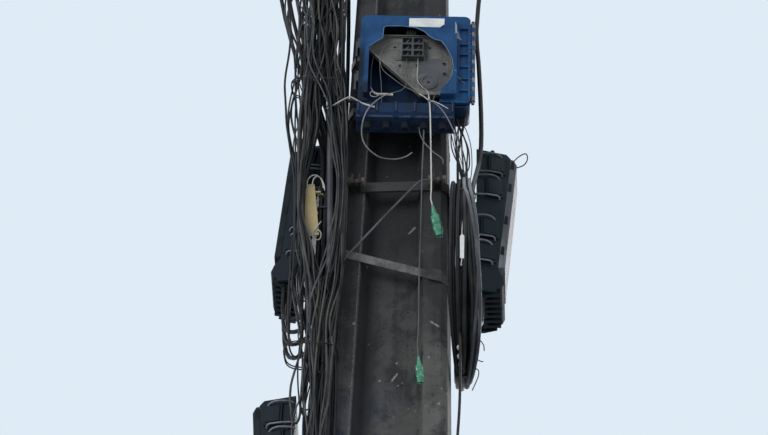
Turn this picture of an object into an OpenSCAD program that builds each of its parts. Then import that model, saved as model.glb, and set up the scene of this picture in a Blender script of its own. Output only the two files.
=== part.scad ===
/* [Pole] */
// Height of the pole above the ground
pole_h = 7500; // [6500:50:9000]
// Width of the recessed face at the ground
pole_foot_w = 350; // [330:1:380]
// Depth between the two recessed faces at the ground
pole_foot_d = 260; // [240:1:290]
// Width of the recessed face at the top
pole_top_w = 140; // [130:1:170]
// Depth between the two recessed faces at the top
pole_top_d = 110; // [100:1:140]
// Width of the front of each flange
flange_w = 48; // [40:1:54]
// Depth of the recess at the ground
recess_foot_d = 60; // [40:1:80]
// Depth of the recess at the top
recess_top_d = 28; // [15:1:34]
// Run of the recess wall sideways for each unit of depth
recess_draft = 0.4; // [0.2:0.05:0.6]
// Chamfer on the outer edges of the flanges
pole_chamfer = 12; // [6:1:18]
// Diameter of the bolt holes through the narrow faces
bolt_hole_d = 19; // [14:1:24]
// Number of bolt holes
bolt_hole_n = 6; // [2:1:8]
// Distance between bolt holes
bolt_hole_pitch = 300; // [150:10:320]
// Distance from the top of the pole to the first bolt hole
bolt_hole_drop = 100; // [60:5:200]

/* [Upper band clamp] */
// Height of the clamp above the ground
band_z = 4600; // [4560:1:4640]
// Height of the flat bar
band_h = 25; // [19:1:32]
// Thickness of the flat bar
band_t = 5; // [3:0.5:8]
// Place of the left pair of ears across the face
band_left_x = -79; // [-84:1:-70]
// Place of the right pair of ears across the face
band_right_x = 92; // [75:1:94]
// Gap between the two ears of a pair
ear_gap = 10; // [6:1:16]
// How far the ears stand out of the bar
ear_l = 30; // [24:1:36]
// Diameter of the clamp bolts
band_bolt_d = 12; // [8:1:14]

/* [Loose strap] */
// Height of the middle of the slipped strap
strap_z = 4400; // [4385:1:4410]
// Height of the strap
strap_h = 20; // [16:1:25]
// Thickness of the strap
strap_t = 1.5; // [1:0.5:3]
// Slope of the slipped strap in degrees
strap_tilt = 19; // [0:1:22]

/* [Terminal box] */
// Width of the box
box_w = 241; // [230:1:260]
// Height of the box
box_h = 264; // [258:1:285]
// Depth of the base from its back to its rim
box_d = 62; // [50:1:75]
// Wall of the base and the door
box_wall = 3; // [2:0.5:4]
// Radius of the corners of the box
box_r = 14; // [8:1:20]
// Height of the underside of the base above the ground
box_z = 4774; // [4760:1:4785]
// Place of the middle of the box across the face
box_x = 38.5; // [30:0.5:45]
// How far the box is turned from the pole's face, in degrees
box_turn = 4; // [0:0.5:6]
// Thickness of the rails between the box and the pole, at the right end
rail_t = 14; // [10:1:20]
// Height of each rail
rail_h = 36; // [30:1:45]
// Height of the steel straps over the rails
box_strap_h = 19; // [12:1:25]
// Thickness of the steel straps over the rails
box_strap_t = 1.2; // [0.8:0.2:2]
// Thickness of the door's flat margin
door_t = 8; // [6:1:10]
// How far the raised panel stands out of the door's margin
panel_d = 17; // [12:1:22]
// Width of the raised panel
panel_w = 200; // [190:1:204]
// Height of the door's margin above the raised panel
panel_top = 18; // [12:1:24]
// Height of the door's margin below the raised panel
panel_foot = 10; // [6:1:16]
// Gap between the door and the rim
door_gap = 1; // [0.5:0.5:2]
// Radius of the hinge knuckles
knuckle_r = 5; // [4:0.5:6]
// Radius of the hinge pin
pin_r = 2; // [1.5:0.25:2.5]
// Number of hinge knuckles
knuckle_n = 17; // [9:2:21]
// Height of the cable lip under the box
lip_h = 39; // [30:1:45]

/* [Splice tray] */
// Width of the tray
tray_w = 182; // [172:1:184]
// Height of the tray
tray_h = 178; // [170:1:182]
// Thickness of the tray's plate
tray_t = 2.5; // [2:0.5:4]
// Height of the tray's rim
tray_rim = 8; // [5:1:10]
// Width of the adapter block
adapter_w = 48; // [44:1:54]
// Height of the adapter block
adapter_h = 58; // [50:1:64]

/* [Closures] */
// Height of a closure with its ribbed end
closure_h = 380; // [370:1:400]
// Depth of a closure at its top
closure_d = 88; // [82:1:96]
// Depth of a closure where the ribbed end begins
closure_low_d = 58; // [54:1:66]
// Width of a closure at its back
closure_w = 156; // [140:1:160]
// Width of a closure at its cover
closure_front_w = 100; // [84:1:110]
// Height of the ribbed end
gland_h = 60; // [45:1:80]
// Thickness of the cover's edge
cover_t = 14; // [10:1:18]
// Number of ribs across the underside
gland_rib_n = 9; // [5:1:11]
// Thickness of the closure brackets
bracket_t = 5; // [4:1:8]

/* [Slack coil] */
// Radius of the coil at the middle of its turns
coil_r = 204; // [180:1:220]
// Radius of the bundle of turns
coil_bundle_r = 17; // [14:1:17]
// Diameter of the coiled cable
lead_d = 10; // [8:1:11]

/* [Cable bar] */
// Height of the bar above the ground
bar_z = 5400; // [5380:5:5600]
// Leg of the angle bar
bar_leg = 40; // [30:1:50]
// Thickness of the angle bar
bar_t = 4; // [3:1:6]
// Left end of the bar
bar_left = 300; // [290:5:320]
// Right end of the bar
bar_right = 220; // [210:5:240]

/* [Cables] */
// Diameter of the cables on the left of the pole
cable_d = 9; // [7:0.5:9.5]
// Diameter of the thick cable
thick_d = 14; // [11:1:15]
// Diameter of the hanging drops
drop_d = 3; // [2:0.5:4]
// Length of a connector
connector_l = 83; // [70:1:95]
// Diameter of a connector
connector_d = 20; // [16:1:22]

/* [Hidden] */
$fn = 48;
eps = 0.01;
// Further than any fitting reaches, for cutting shapes
far = 2 * pole_foot_w;

// Half width and half depth of the pole at a height, and the depth of its recess there
function half_w(z) = (pole_foot_w + (pole_top_w - pole_foot_w) * z / pole_h) / 2;
function half_d(z) = (pole_foot_d + (pole_top_d - pole_foot_d) * z / pole_h) / 2;
function recess_at(z) = recess_foot_d + (recess_top_d - recess_foot_d) * z / pole_h;

// Outline of the pole at a height, a rectangle with chamfered corners
function pole_points(z) = let (w = half_w(z), d = half_d(z), c = pole_chamfer)
    [[w - c, -d], [w, -d + c], [w, d - c], [w - c, d],
     [-w + c, d], [-w, d - c], [-w, -d + c], [-w + c, -d]];

// A convex outline grown by the same amount on every side
function unit(v) = v / norm(v);
function outward(a, b) = let (e = unit(b - a)) [e[1], -e[0]];
function grown(p, t) = [for (i = [0 : len(p) - 1])
    let (n = len(p), before = outward(p[(i + n - 1) % n], p[i]), after = outward(p[i], p[(i + 1) % n]))
    p[i] + t * (before + after) / (1 + before * after)];

// A solid between two outlines with the same number of points
module loft(low, z_low, high, z_high) {
    n = len(low);
    polyhedron(
        points = concat([for (p = low) [p[0], p[1], z_low]], [for (p = high) [p[0], p[1], z_high]]),
        faces = concat([[for (i = [0 : n - 1]) i]], [[for (i = [0 : n - 1]) 2 * n - 1 - i]],
            [for (i = [0 : n - 1]) [i, n + i, n + (i + 1) % n, (i + 1) % n]]));
}

// The tapered pole grown on every side between two heights, and a hoop that hugs it
module grown_pole(z_low, z_high, t) {
    loft(grown(pole_points(z_low), t), z_low, grown(pole_points(z_high), t), z_high);
}

module hoop(z_low, z_high, t, inner = 0) {
    difference() {
        grown_pole(z_low, z_high, inner + t);
        grown_pole(z_low - 1, z_high + 1, inner);
    }
}

module round_rect(w, h, r) {
    square([w - 2 * r, h], center = true);
    square([w, h - 2 * r], center = true);
    for (x = [-1, 1], y = [-1, 1]) translate([x * (w / 2 - r), y * (h / 2 - r)]) circle(r);
}

// A shape drawn in X and Z, with its back at y and its front at y minus t
module facing(y, t) {
    translate([0, y, 0]) rotate([90, 0, 0]) linear_extrude(t) children();
}

// A smooth curve through hand-chosen points, each span cut in a number of steps
function spline(a, b, c, d, u) = 0.5 * ((2 * b) + (c - a) * u + (2 * a - 5 * b + 4 * c - d) * u * u
    + (3 * b - a - 3 * c + d) * u * u * u);
function smooth(p, steps) = let (n = len(p)) concat(
    [for (i = [0 : n - 2], s = [0 : steps - 1])
        spline(p[max(i - 1, 0)], p[i], p[i + 1], p[min(i + 2, n - 1)], s / steps)], [p[n - 1]]);
function heading(p, i) = unit(p[min(i + 1, len(p) - 1)] - p[max(i - 1, 0)]);
function turned(u, t) = unit(u - (u * t) * t);
function sides_of(p, i, u) = i == len(p) ? []
    : let (v = turned(u, heading(p, i))) concat([v], sides_of(p, i + 1, v));
function across(t) = turned(abs(t[0]) < 0.9 ? [1, 0, 0] : [0, 1, 0], t);

// A cable's path: an upright start, a smooth run and an end that is upright or leans
function route(start, p, end, lean = 0) = let (n = len(p)) concat([start],
    smooth([for (i = [0 : n - 1]) i == 0 ? [start[0], start[1], p[0][2]]
        : i == n - 1 ? [end[0] - tan(lean) * (p[i][2] - end[2]), end[1], p[i][2]] : p[i]], 3), [end]);

// A round tube along a path, with flat ends square to it
module tube(p, r, sides = 8) {
    u = sides_of(p, 0, across(heading(p, 0)));
    n = len(p);
    polyhedron(
        points = [for (i = [0 : n - 1]) let (t = heading(p, i), v = cross(t, u[i]))
            for (k = [0 : sides - 1]) p[i] + r * (cos(360 * k / sides) * u[i] + sin(360 * k / sides) * v)],
        faces = concat([[for (k = [0 : sides - 1]) k]],
            [[for (k = [0 : sides - 1]) n * sides - 1 - k]],
            [for (i = [0 : n - 2], k = [0 : sides - 1])
                [i * sides + k, (i + 1) * sides + k, (i + 1) * sides + (k + 1) % sides,
                 i * sides + (k + 1) % sides]]));
}

// Pole

module recess_cut(side) {
    over = 6;
    function slot(z) = let (o = half_w(z) - flange_w, r = recess_at(z), d = half_d(z))
        [[-o - over * recess_draft, -d - over], [o + over * recess_draft, -d - over],
         [o - r * recess_draft, -d + r], [-o + r * recess_draft, -d + r]];
    rotate([0, 0, side == 1 ? 180 : 0]) loft(slot(-1), -1, slot(pole_h + 1), pole_h + 1);
}

module pole_shaft() {
    color("#6f6a60") difference() {
        loft(pole_points(0), 0, pole_points(pole_h), pole_h);
        for (side = [-1, 1]) recess_cut(side);
        for (i = [0 : bolt_hole_n - 1])
            translate([0, 0, pole_h - bolt_hole_drop - i * bolt_hole_pitch])
                rotate([0, 90, 0]) cylinder(h = pole_foot_w, d = bolt_hole_d, center = true);
    }
}

// Upper band clamp: a front bar and a rear hoop, drawn together by a bolt at each pair of ears

band_y = -half_d(band_z);

module ear(x, side) {
    translate([x + side * (ear_gap / 2 + band_t / 2), band_y - band_t / 2 - ear_l / 2, band_z + band_h / 2])
        difference() {
            cube([band_t, ear_l + band_t, band_h], center = true);
            translate([0, -band_t, 0]) rotate([0, 90, 0])
                cylinder(h = band_t + 2, d = band_bolt_d + 0.6, center = true);
        }
}

module band_window() {
    translate([band_left_x + ear_gap / 2, band_y - 60, band_z - 5])
        cube([band_right_x - band_left_x - ear_gap, 60 + band_t, band_h + 10]);
}

module band_front() {
    color("#8a8580") {
        intersection() {
            hoop(band_z, band_z + band_h, band_t);
            band_window();
        }
        ear(band_left_x, 1);
        ear(band_right_x, -1);
    }
}

module band_rear() {
    color("#8a8580") {
        difference() {
            hoop(band_z, band_z + band_h, band_t);
            translate([-ear_gap, 0, 0]) band_window();
            translate([ear_gap, 0, 0]) band_window();
        }
        ear(band_left_x, -1);
        ear(band_right_x, 1);
    }
}

module band_bolts() {
    grip = ear_gap + 2 * band_t;
    color("#5d4a3c") for (x = [band_left_x, band_right_x])
        translate([x, band_y - band_t * 1.5 - ear_l / 2, band_z + band_h / 2]) rotate([0, 90, 0]) {
            cylinder(h = grip + 16, d = band_bolt_d, center = true);
            translate([0, 0, -grip / 2 - 8]) cylinder(h = 8, d = band_bolt_d * 1.7, $fn = 6);
            translate([0, 0, grip / 2]) cylinder(h = 8, d = band_bolt_d * 1.7, $fn = 6);
        }
}

// The loose strap goes round the pole in a tilted plane

module strap_slab(h) {
    translate([0, 0, strap_z]) rotate([0, strap_tilt, 0]) cube([far, far, h], center = true);
}

module loose_strap() {
    color("#a9a9a6") intersection() {
        hoop(strap_z - 80, strap_z + 80, strap_t);
        strap_slab(strap_h);
    }
}

buckle_t = 5;

module strap_buckle() {
    x = half_w(strap_z) - flange_w / 2;
    color("#9a9a98") intersection() {
        hoop(strap_z - 80, strap_z + 80, buckle_t, strap_t);
        strap_slab(strap_h + 8);
        translate([x - 14, -half_d(strap_z) - 20, strap_z - 80]) cube([28, 22, 160]);
    }
}

// Terminal box: a shallow base on two strapped rails, with a door hinged on its right edge.
// It is drawn square to the pole and then turned about the middle of its back.

rail_low = box_z + 36;
rail_high = box_z + box_h - 36 - rail_h;
rail_half = half_w(rail_high) - pole_chamfer;
box_back = -half_d(rail_low) - rail_t - (rail_half - box_x) * tan(box_turn);
box_rim = box_back - box_d;
box_mid = box_z + box_h / 2;
strap_y = -half_d(rail_low) - rail_t + 2 * box_strap_t;

module askew() {
    translate([box_x, box_back, 0]) rotate([0, 0, box_turn]) translate([-box_x, -box_back, 0]) children();
}
function on_box(p) = let (x = p[0] - box_x, y = p[1] - box_back)
    [box_x + x * cos(box_turn) - y * sin(box_turn), box_back + x * sin(box_turn) + y * cos(box_turn), p[2]];

// The rails are wedges, thicker at the left end, with a groove for the strap round the pole
module box_rails() {
    function face(x) = box_back + (x - box_x) * tan(box_turn);
    color("#77756f") for (z = [rail_low, rail_high]) difference() {
        translate([0, 0, z]) linear_extrude(rail_h) polygon([[-rail_half, -half_d(z)], [-rail_half, face(-rail_half)],
            [rail_half, face(rail_half)], [rail_half, -half_d(z)]]);
        translate([-rail_half - 1, strap_y - 60, z + (rail_h - box_strap_h) / 2 - 0.5])
            cube([2 * rail_half + 2, 60, box_strap_h + 1]);
    }
}

module box_straps() {
    color("#a3a19c") for (z = [rail_low, rail_high]) {
        z_strap = z + (rail_h - box_strap_h) / 2;
        outline = concat([for (i = [1 : 6]) pole_points(z_strap)[i]], [[-rail_half, strap_y], [rail_half, strap_y]]);
        translate([0, 0, z_strap]) linear_extrude(box_strap_h) difference() {
            polygon(grown(outline, box_strap_t));
            polygon(outline);
        }
    }
}

post_y = box_rim + 7;
tray_x = box_x + box_w / 2 - 39 - tray_w / 2;
tray_z = box_z + box_h - 54 - tray_h / 2;
post_places = [[-tray_w / 2 + 20, tray_h / 2 - 18], [tray_w / 2 - 18, tray_h / 2 - 18],
    [tray_w / 2 - 45, -tray_h / 2 + 22]];

hinge_x = box_x + box_w / 2 + knuckle_r + 0.5;
hinge_y = box_rim - door_gap / 2;
knuckle_gap = 0.5;
hinge_l = box_h - 30;
knuckle_l = hinge_l / knuckle_n;

// Every second knuckle, each with a tab that bites into the piece that carries it
module knuckles(first, tab_y, tab_t, bite) {
    tab_l = hinge_x - box_x - box_w / 2 + bite;
    for (i = [first : 2 : knuckle_n - 1])
        translate([0, 0, box_mid - hinge_l / 2 + i * knuckle_l + knuckle_gap / 2]) {
            difference() {
                union() {
                    translate([hinge_x, hinge_y, 0]) cylinder(h = knuckle_l - knuckle_gap, r = knuckle_r);
                    translate([hinge_x - tab_l, tab_y, 0]) cube([tab_l, tab_t, knuckle_l - knuckle_gap]);
                }
                translate([hinge_x, hinge_y, -1]) cylinder(h = knuckle_l + 2, r = pin_r + 0.1);
            }
        }
}

module box_base() {
    color("#2c5b84") askew() difference() {
        translate([box_x, 0, box_mid]) facing(box_back, box_d) round_rect(box_w, box_h, box_r);
        translate([box_x, 0, box_mid]) facing(box_back - box_wall, box_d)
            round_rect(box_w - 2 * box_wall, box_h - 2 * box_wall, box_r - box_wall);
    }
}

module base_knuckles() {
    color("#2c5b84") askew() knuckles(0, box_rim, knuckle_r - 0.5, 0);
}

door_w = box_w;
door_low = box_z + 5;
door_h = box_h - 5;
door_back = box_rim - door_gap;
door_mid = door_low + door_h / 2;
panel_left = 11;
panel_x = box_x - box_w / 2 + panel_left + panel_w / 2;
panel_h = door_h - panel_top - panel_foot;
panel_mid = door_low + panel_foot + panel_h / 2;

// The break in the door, as shares of the raised panel from its lower left corner
tear = [[0.05, -0.2], [0.81, -0.2], [0.82, -0.02], [0.84, 0.07], [0.915, 0.16], [0.948, 0.23], [0.963, 0.34],
    [0.954, 0.44], [0.92, 0.53], [0.88, 0.61], [0.83, 0.68], [0.76, 0.7], [0.7, 0.74], [0.645, 0.8],
    [0.55, 0.85], [0.4, 0.87], [0.23, 0.865], [0.2, 0.85], [0.195, 0.765], [0.19, 0.705], [0.145, 0.675],
    [0.05, 0.6]];

// Cells in the door's right margin, as places and heights up from the door's foot
cells = [[6, 34], [45, 34], [84, 36], [126, 36], [167, 30], [202, 50]];

module door_cells() {
    cell_w = box_w - panel_w - panel_left - 11;
    x = box_x + box_w / 2 - 5 - cell_w / 2;
    for (c = cells) translate([x, 0, door_low + (c[0] + c[1] / 2) * door_h / 295])
        facing(door_back - door_t + 4.5, 10) square([cell_w, c[1] * door_h / 295], center = true);
}

module box_door() {
    color("#1f5f9e") askew() {
        difference() {
            union() {
                translate([box_x, 0, door_mid]) facing(door_back, door_t) round_rect(door_w, door_h, box_r);
                translate([panel_x, 0, panel_mid]) facing(door_back - door_t + eps, panel_d)
                    round_rect(panel_w, panel_h, 6);
            }
            translate([panel_x, 0, panel_mid]) facing(door_back + 1, 1 + door_t + panel_d - box_wall)
                round_rect(panel_w - 2 * box_wall, panel_h - 2 * box_wall, 4);
            translate([panel_x - panel_w / 2, 0, panel_mid - panel_h / 2]) facing(door_back + 1, 60)
                polygon([for (p = tear) [p[0] * panel_w, p[1] * panel_h]]);
            door_cells();
        }
        knuckles(1, door_back - knuckle_r + 0.5, knuckle_r - 0.5, 2.5);
    }
}

module hinge_pin() {
    color("#b9b6b0") askew() translate([hinge_x, hinge_y, box_mid]) {
        cylinder(h = hinge_l + 8, r = pin_r, center = true);
        for (side = [-1, 1]) translate([0, 0, side * (hinge_l / 2 + 5)])
            cylinder(h = 3, r = pin_r + 1.5, center = true);
    }
}

lip_w = panel_w + 8;
lip_pitch = 40;
lip_x = panel_x - 8;
lip_front = box_rim - 15;
lip_back = box_back - 20;

module cable_lip() {
    profile = [[lip_back, box_z], [box_rim, box_z], [lip_front, box_z - 4], [lip_front, box_z - lip_h + 8],
        [lip_front + 8, box_z - lip_h], [lip_back, box_z - lip_h]];
    color("#1d4a70") askew() {
        translate([lip_x - lip_w / 2, 0, 0]) rotate([90, 0, 90]) linear_extrude(lip_w) polygon(profile);
        for (i = [0 : 5]) translate([lip_x + (i - 2.5) * lip_pitch - 1.5, lip_front - 4, box_z - lip_h + 8])
            cube([3, 5, lip_h - 12]);
    }
}

module lip_grommets() {
    color("#26262a") for (i = [0 : 4])
        translate(grommet(i)) cylinder(h = grommet_h, r1 = 7, r2 = 11);
}

module door_latches() {
    color("#3a3c40") askew() for (z = [box_z + 84, box_z + box_h - 80]) {
        translate([box_x - box_w / 2 - 6, box_rim + 12, z]) cube([6, 24, 30]);
        translate([box_x - box_w / 2 - 10, box_rim + 16, z - 22]) cube([4, 16, 46]);
    }
}

module tray_outline(inset) {
    cut = tray_w * 0.62;
    difference() {
        round_rect(tray_w - 2 * inset, tray_h - 2 * inset, 34 - inset);
        polygon([[-tray_w, -tray_h], [-tray_w / 2 + cut + inset * 2, -tray_h],
            [-tray_w / 2 + cut + inset * 1.4, -tray_h / 2],
            [-tray_w / 2, tray_h / 2 - 48 + inset * 1.8], [-tray_w, tray_h / 2 - 48 + inset * 1.8]]);
    }
}

module splice_tray() {
    color("#b8b09c") askew() {
        difference() {
            translate([tray_x, 0, tray_z]) facing(post_y, tray_t + tray_rim) tray_outline(0);
            translate([tray_x, 0, tray_z]) facing(post_y - tray_t, tray_rim + 1) tray_outline(3);
        }
        for (p = post_places) translate([tray_x + p[0], 0, tray_z + p[1]])
            facing(box_back - box_wall, box_back - box_wall - post_y + eps) circle(5);
    }
}

adapter_x = tray_x + 4;
adapter_z = tray_z + tray_h / 2 - 14 - adapter_h / 2;

module adapter_block() {
    cell_w = adapter_w / 2 - 5;
    cell_h = adapter_h / 3 - 5;
    color("#3b4043") askew() difference() {
        translate([adapter_x, 0, adapter_z]) facing(post_y - tray_t, 16) square([adapter_w, adapter_h], center = true);
        for (x = [-1, 1], z = [-1 : 1])
            translate([adapter_x + x * adapter_w / 4, 0, adapter_z + z * adapter_h / 3])
                facing(post_y - tray_t - 6, 12) square([cell_w, cell_h], center = true);
    }
}

// Closures: a tapered housing held off the pole, with a clipped cover and a ribbed cable end below

// Depth of a closure at a height above its foot
function depth_at(z) = closure_low_d + (closure_d - closure_low_d) * (z - gland_h) / (closure_h - gland_h);
closure_slope = (closure_w - closure_front_w) / 2 / closure_d;
function section(d) = [[0, -closure_w / 2], [d - 8, -closure_w / 2 + (d - 8) * closure_slope],
    [d, -closure_w / 2 + d * closure_slope + 6], [d, closure_w / 2 - d * closure_slope - 6],
    [d - 8, closure_w / 2 - (d - 8) * closure_slope], [0, closure_w / 2]];

module closure_shape(profile) {
    intersection() {
        translate([0, 0, gland_h]) linear_extrude(closure_h) polygon(section(closure_d));
        translate([0, closure_w, 0]) rotate([90, 0, 0]) linear_extrude(2 * closure_w) polygon(profile);
    }
}

module closure_body() {
    round_off = 9;
    closure_shape([[0, gland_h], [depth_at(gland_h) - cover_t, gland_h],
        [depth_at(closure_h - round_off) - cover_t, closure_h - round_off],
        [depth_at(closure_h) - cover_t - round_off, closure_h], [0, closure_h]]);
}

module closure_cover() {
    low = gland_h + 6;
    high = closure_h - 12;
    seam = cover_t - 0.2;
    closure_shape([[depth_at(low) - seam, low], [depth_at(low), low], [depth_at(high - 10), high - 10],
        [depth_at(high) - 8, high], [depth_at(high) - seam, high]]);
}

// Places and heights of the clips above the ribbed end, as shares of the height there
clip_places = [[0.04, 0.15], [0.245, 0.16], [0.6, 0.16], [0.805, 0.15]];

module closure_clips() {
    run = closure_h - gland_h;
    for (side = [0, 1], c = clip_places) mirror([0, side, 0])
        translate([0, -closure_w / 2, gland_h + c[0] * run]) rotate([0, 0, atan(closure_slope)]) {
            translate([depth_at(gland_h + c[0] * run) - 56, -5, 0]) cube([38, 5, c[1] * run]);
            translate([depth_at(gland_h + c[0] * run) - 52, -8, 5]) cube([30, 4, c[1] * run - 10]);
        }
}

// The ribbed end bulges forward under the cover and has ribs across its underside
rib_h = 8;
gland_bulge = 13;

module closure_gland(port_x) {
    seam = closure_low_d - cover_t;
    pitch = closure_w / gland_rib_n;
    intersection() {
        union() {
            translate([0, closure_w, 0]) rotate([90, 0, 0]) linear_extrude(2 * closure_w)
                polygon([[0, rib_h], [seam - 4, rib_h], [seam + gland_bulge - 5, rib_h + 6],
                    [seam + gland_bulge, gland_h * 0.4], [seam + gland_bulge - 3, gland_h * 0.7],
                    [seam, gland_h], [0, gland_h]]);
            for (i = [0 : gland_rib_n - 1]) translate([4, (i + 0.5) * pitch - closure_w / 2 - pitch / 4, 0])
                cube([seam + gland_bulge - 12, pitch / 2, rib_h + 7]);
        }
        linear_extrude(gland_h) polygon(section(seam + gland_bulge + 10));
    }
    for (y = port_places) translate([port_x, y, 0]) cylinder(h = rib_h + 1, r = 10);
}

port_places = [-48, -16, 16, 48];

// Where a cable meets the port of a closure, just below its mouth where the closure leans
function port_at(p, i) = let (x = p[5] * cos(p[4]), y = port_places[i])
    [p[0] + x * cos(p[3]) - y * sin(p[3]), p[1] + x * sin(p[3]) + y * cos(p[3]),
     p[2] - p[5] * sin(p[4]) - 6 * abs(sin(p[4]))];

// The fittings at the pole's sides stand off its face, so they move with it when its width changes.
// The sides were this far from the middle when the cables' points were chosen.
side_z = 4350;
side_x = 114.1;
side_move = half_w(side_z) - side_x;

// How far the backs of the closures stand off the pole's side
right_gap = 58;
left_gap = 93;
lower_gap = 70;

// Each closure is placed by the middle of its back, its foot, the way its cover faces and its lean,
// with the distance of its ports from its back
right_place = [half_w(side_z) + right_gap, 0, 4342, 1, 0, 12];
left_place = [-half_w(side_z) - left_gap, 20, 4392, 184, -8.5, 24];
lower_place = [-half_w(side_z) - lower_gap, -8, 3698, 184, 0, 24];

module placed(p) {
    translate([p[0], p[1], p[2]]) rotate([0, p[4], p[3]]) children();
}

// A bracket stands between the pole's side and the closure's back: a wall plate, two arms and a back plate.
// The wall plate has a channel for the strap round the pole.
module closure_bracket(p, arms) {
    side = sign(p[0]);
    low = p[2] + arms[0] - 30;
    high = p[2] + arms[1] + 10;
    wall = half_w(high);
    difference() {
        union() {
            intersection() {
                grown_pole(low, high, bracket_t);
                translate([side == 1 ? 0 : -far, -30, low]) cube([far, 60, high - low]);
            }
            for (a = arms) translate([side == 1 ? wall : p[0] - 10, -12, p[2] + a - 10])
                cube([abs(p[0]) - wall + 10, 24, 20]);
            placed(p) translate([-bracket_t, -35, arms[0] - 20])
                cube([bracket_t, 70, arms[1] - arms[0] + 40]);
        }
        grown_pole(low - 1, high + 1, 0);
        placed(p) translate([0, -closure_w, 0]) cube([closure_d, 2 * closure_w, closure_h]);
        intersection() {
            grown_pole(strap_z - 80, strap_z + 80, strap_t + 0.5);
            strap_slab(strap_h + 2);
        }
    }
}

right_arms = [60, 247];
left_arms = [60, 197];
lower_arms = [60, 260];

module right_closure_body() { color("#1b1d22") placed(right_place) closure_body(); }
module right_closure_cover() { color("#8d8f8f") placed(right_place) closure_cover(); }
module right_closure_clips() { color("#2a2c31") placed(right_place) closure_clips(); }
module right_closure_gland() { color("#17181c") placed(right_place) closure_gland(right_place[5]); }
module right_closure_bracket() { color("#75726b") closure_bracket(right_place, right_arms); }

module left_closure_body() { color("#1b1d22") placed(left_place) closure_body(); }
module left_closure_cover() { color("#202228") placed(left_place) closure_cover(); }
module left_closure_clips() { color("#2a2c31") placed(left_place) closure_clips(); }
module left_closure_gland() { color("#17181c") placed(left_place) closure_gland(left_place[5]); }
module left_closure_bracket() { color("#75726b") closure_bracket(left_place, left_arms); }

module lower_closure_body() { color("#1b1d22") placed(lower_place) closure_body(); }
module lower_closure_cover() { color("#202228") placed(lower_place) closure_cover(); }
module lower_closure_clips() { color("#2a2c31") placed(lower_place) closure_clips(); }
module lower_closure_gland() { color("#17181c") placed(lower_place) closure_gland(lower_place[5]); }
module lower_closure_bracket() { color("#75726b") closure_bracket(lower_place, lower_arms); }

// Slack coil, hung over the right bracket's upper arm

coil_x = right_place[0] - 27;
coil_z = right_place[2] + right_arms[1] + 10.5 - coil_r + coil_bundle_r;
coil_turn = 4;
tie_angles = [35, 155, 275];

module hung_coil() {
    translate([coil_x, 0, coil_z]) rotate([0, 0, coil_turn]) children();
}

module slack_coil() {
    color("#202124") hung_coil() rotate([0, 90, 0])
        rotate_extrude($fn = 96) translate([coil_r, 0]) circle(coil_bundle_r, $fn = 32);
}

module coil_ties() {
    color("#c9c9c4") hung_coil() for (a = tie_angles) rotate([a, 0, 0])
        translate([0, coil_r, 0]) difference() {
            cylinder(h = 8, r = coil_bundle_r + 2, center = true);
            cylinder(h = 10, r = coil_bundle_r + 0.3, center = true);
        }
}

// Cable bar across the front of the pole, with a clamp for every cable

bar_front = -half_d(bar_z);

module cable_bar() {
    color("#7d7a73") {
        translate([-bar_left, bar_front - bar_t, bar_z]) cube([bar_left + bar_right, bar_t, bar_leg]);
        translate([-bar_left, bar_front - bar_leg, bar_z]) cube([bar_left + bar_right, bar_leg, bar_t]);
        difference() {
            hoop(bar_z + 10, bar_z + 30, bar_t);
            translate([-far / 2, bar_front - 30, bar_z]) cube([far, 30, 50]);
        }
    }
}

clamp_y = -96;
clamp_l = 22;
clamp_places = [-284, -266, -248, -230, -212, -194, -176, -158, -140, -122, -104, -60, 190];
function clamp_at(i) = [clamp_places[i], clamp_y, bar_z - clamp_l];

module bar_clamps() {
    color("#4a4b4d") for (i = [0 : len(clamp_places) - 1]) translate(clamp_at(i)) cylinder(h = clamp_l, r = 7.5);
}

// A route that was chosen beside the pole, moved with the pole's side
function beside(p, side = -1) = [for (q = p) q + [side * side_move, 0, 0]];

// Cables from the bar down to the cable ends of the closures: first four to the left one
left_routes = [
    [[-284, -96, 5345], [-276, -82, 5200], [-228, -70, 5000], [-172, -67, 4820], [-155, -66, 4720],
     [-155, -66, 4500], [-155, -66, 4368], [-155, -66, 4340], [-159.8, -63.6, 4318], [-173, -57, 4303],
     [-191, -48, 4297.5], [-209, -39, 4303], [-222.5, -32, 4318], [-227, -30, 4340], [-227, -30, 4375]],
    [[-266, -96, 5345], [-258, -82, 5200], [-212, -70, 5000], [-160, -67, 4820], [-144, -66, 4720],
     [-144, -66, 4500], [-144, -66, 4368], [-144, -66, 4338], [-149.7, -61.4, 4309], [-165.4, -49, 4288.5],
     [-186.8, -32, 4281], [-208.2, -15, 4288.5], [-224, -2.4, 4309], [-229.6, 2.3, 4338], [-229.6, 2.3, 4374]],
    [[-248, -96, 5345], [-240, -82, 5200], [-196, -70, 5000], [-148, -67, 4820], [-133, -66, 4720],
     [-133, -66, 4500], [-133, -66, 4370], [-133, -66, 4333], [-147.5, -51.3, 4285],
     [-182.4, -16, 4264.6], [-217.3, 19.5, 4285], [-231.8, 34, 4333], [-231.8, 34, 4372]],
    [[-230, -96, 5345], [-222, -82, 5200], [-180, -70, 5000], [-136, -67, 4820], [-122, -66, 4720],
     [-122.5, -66, 4500], [-123, -66, 4368], [-123, -66, 4328], [-138.4, -46.6, 4270],
     [-178, 0, 4245], [-217.6, 46.8, 4270], [-234, 66, 4328], [-234, 66, 4368]]];
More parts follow.
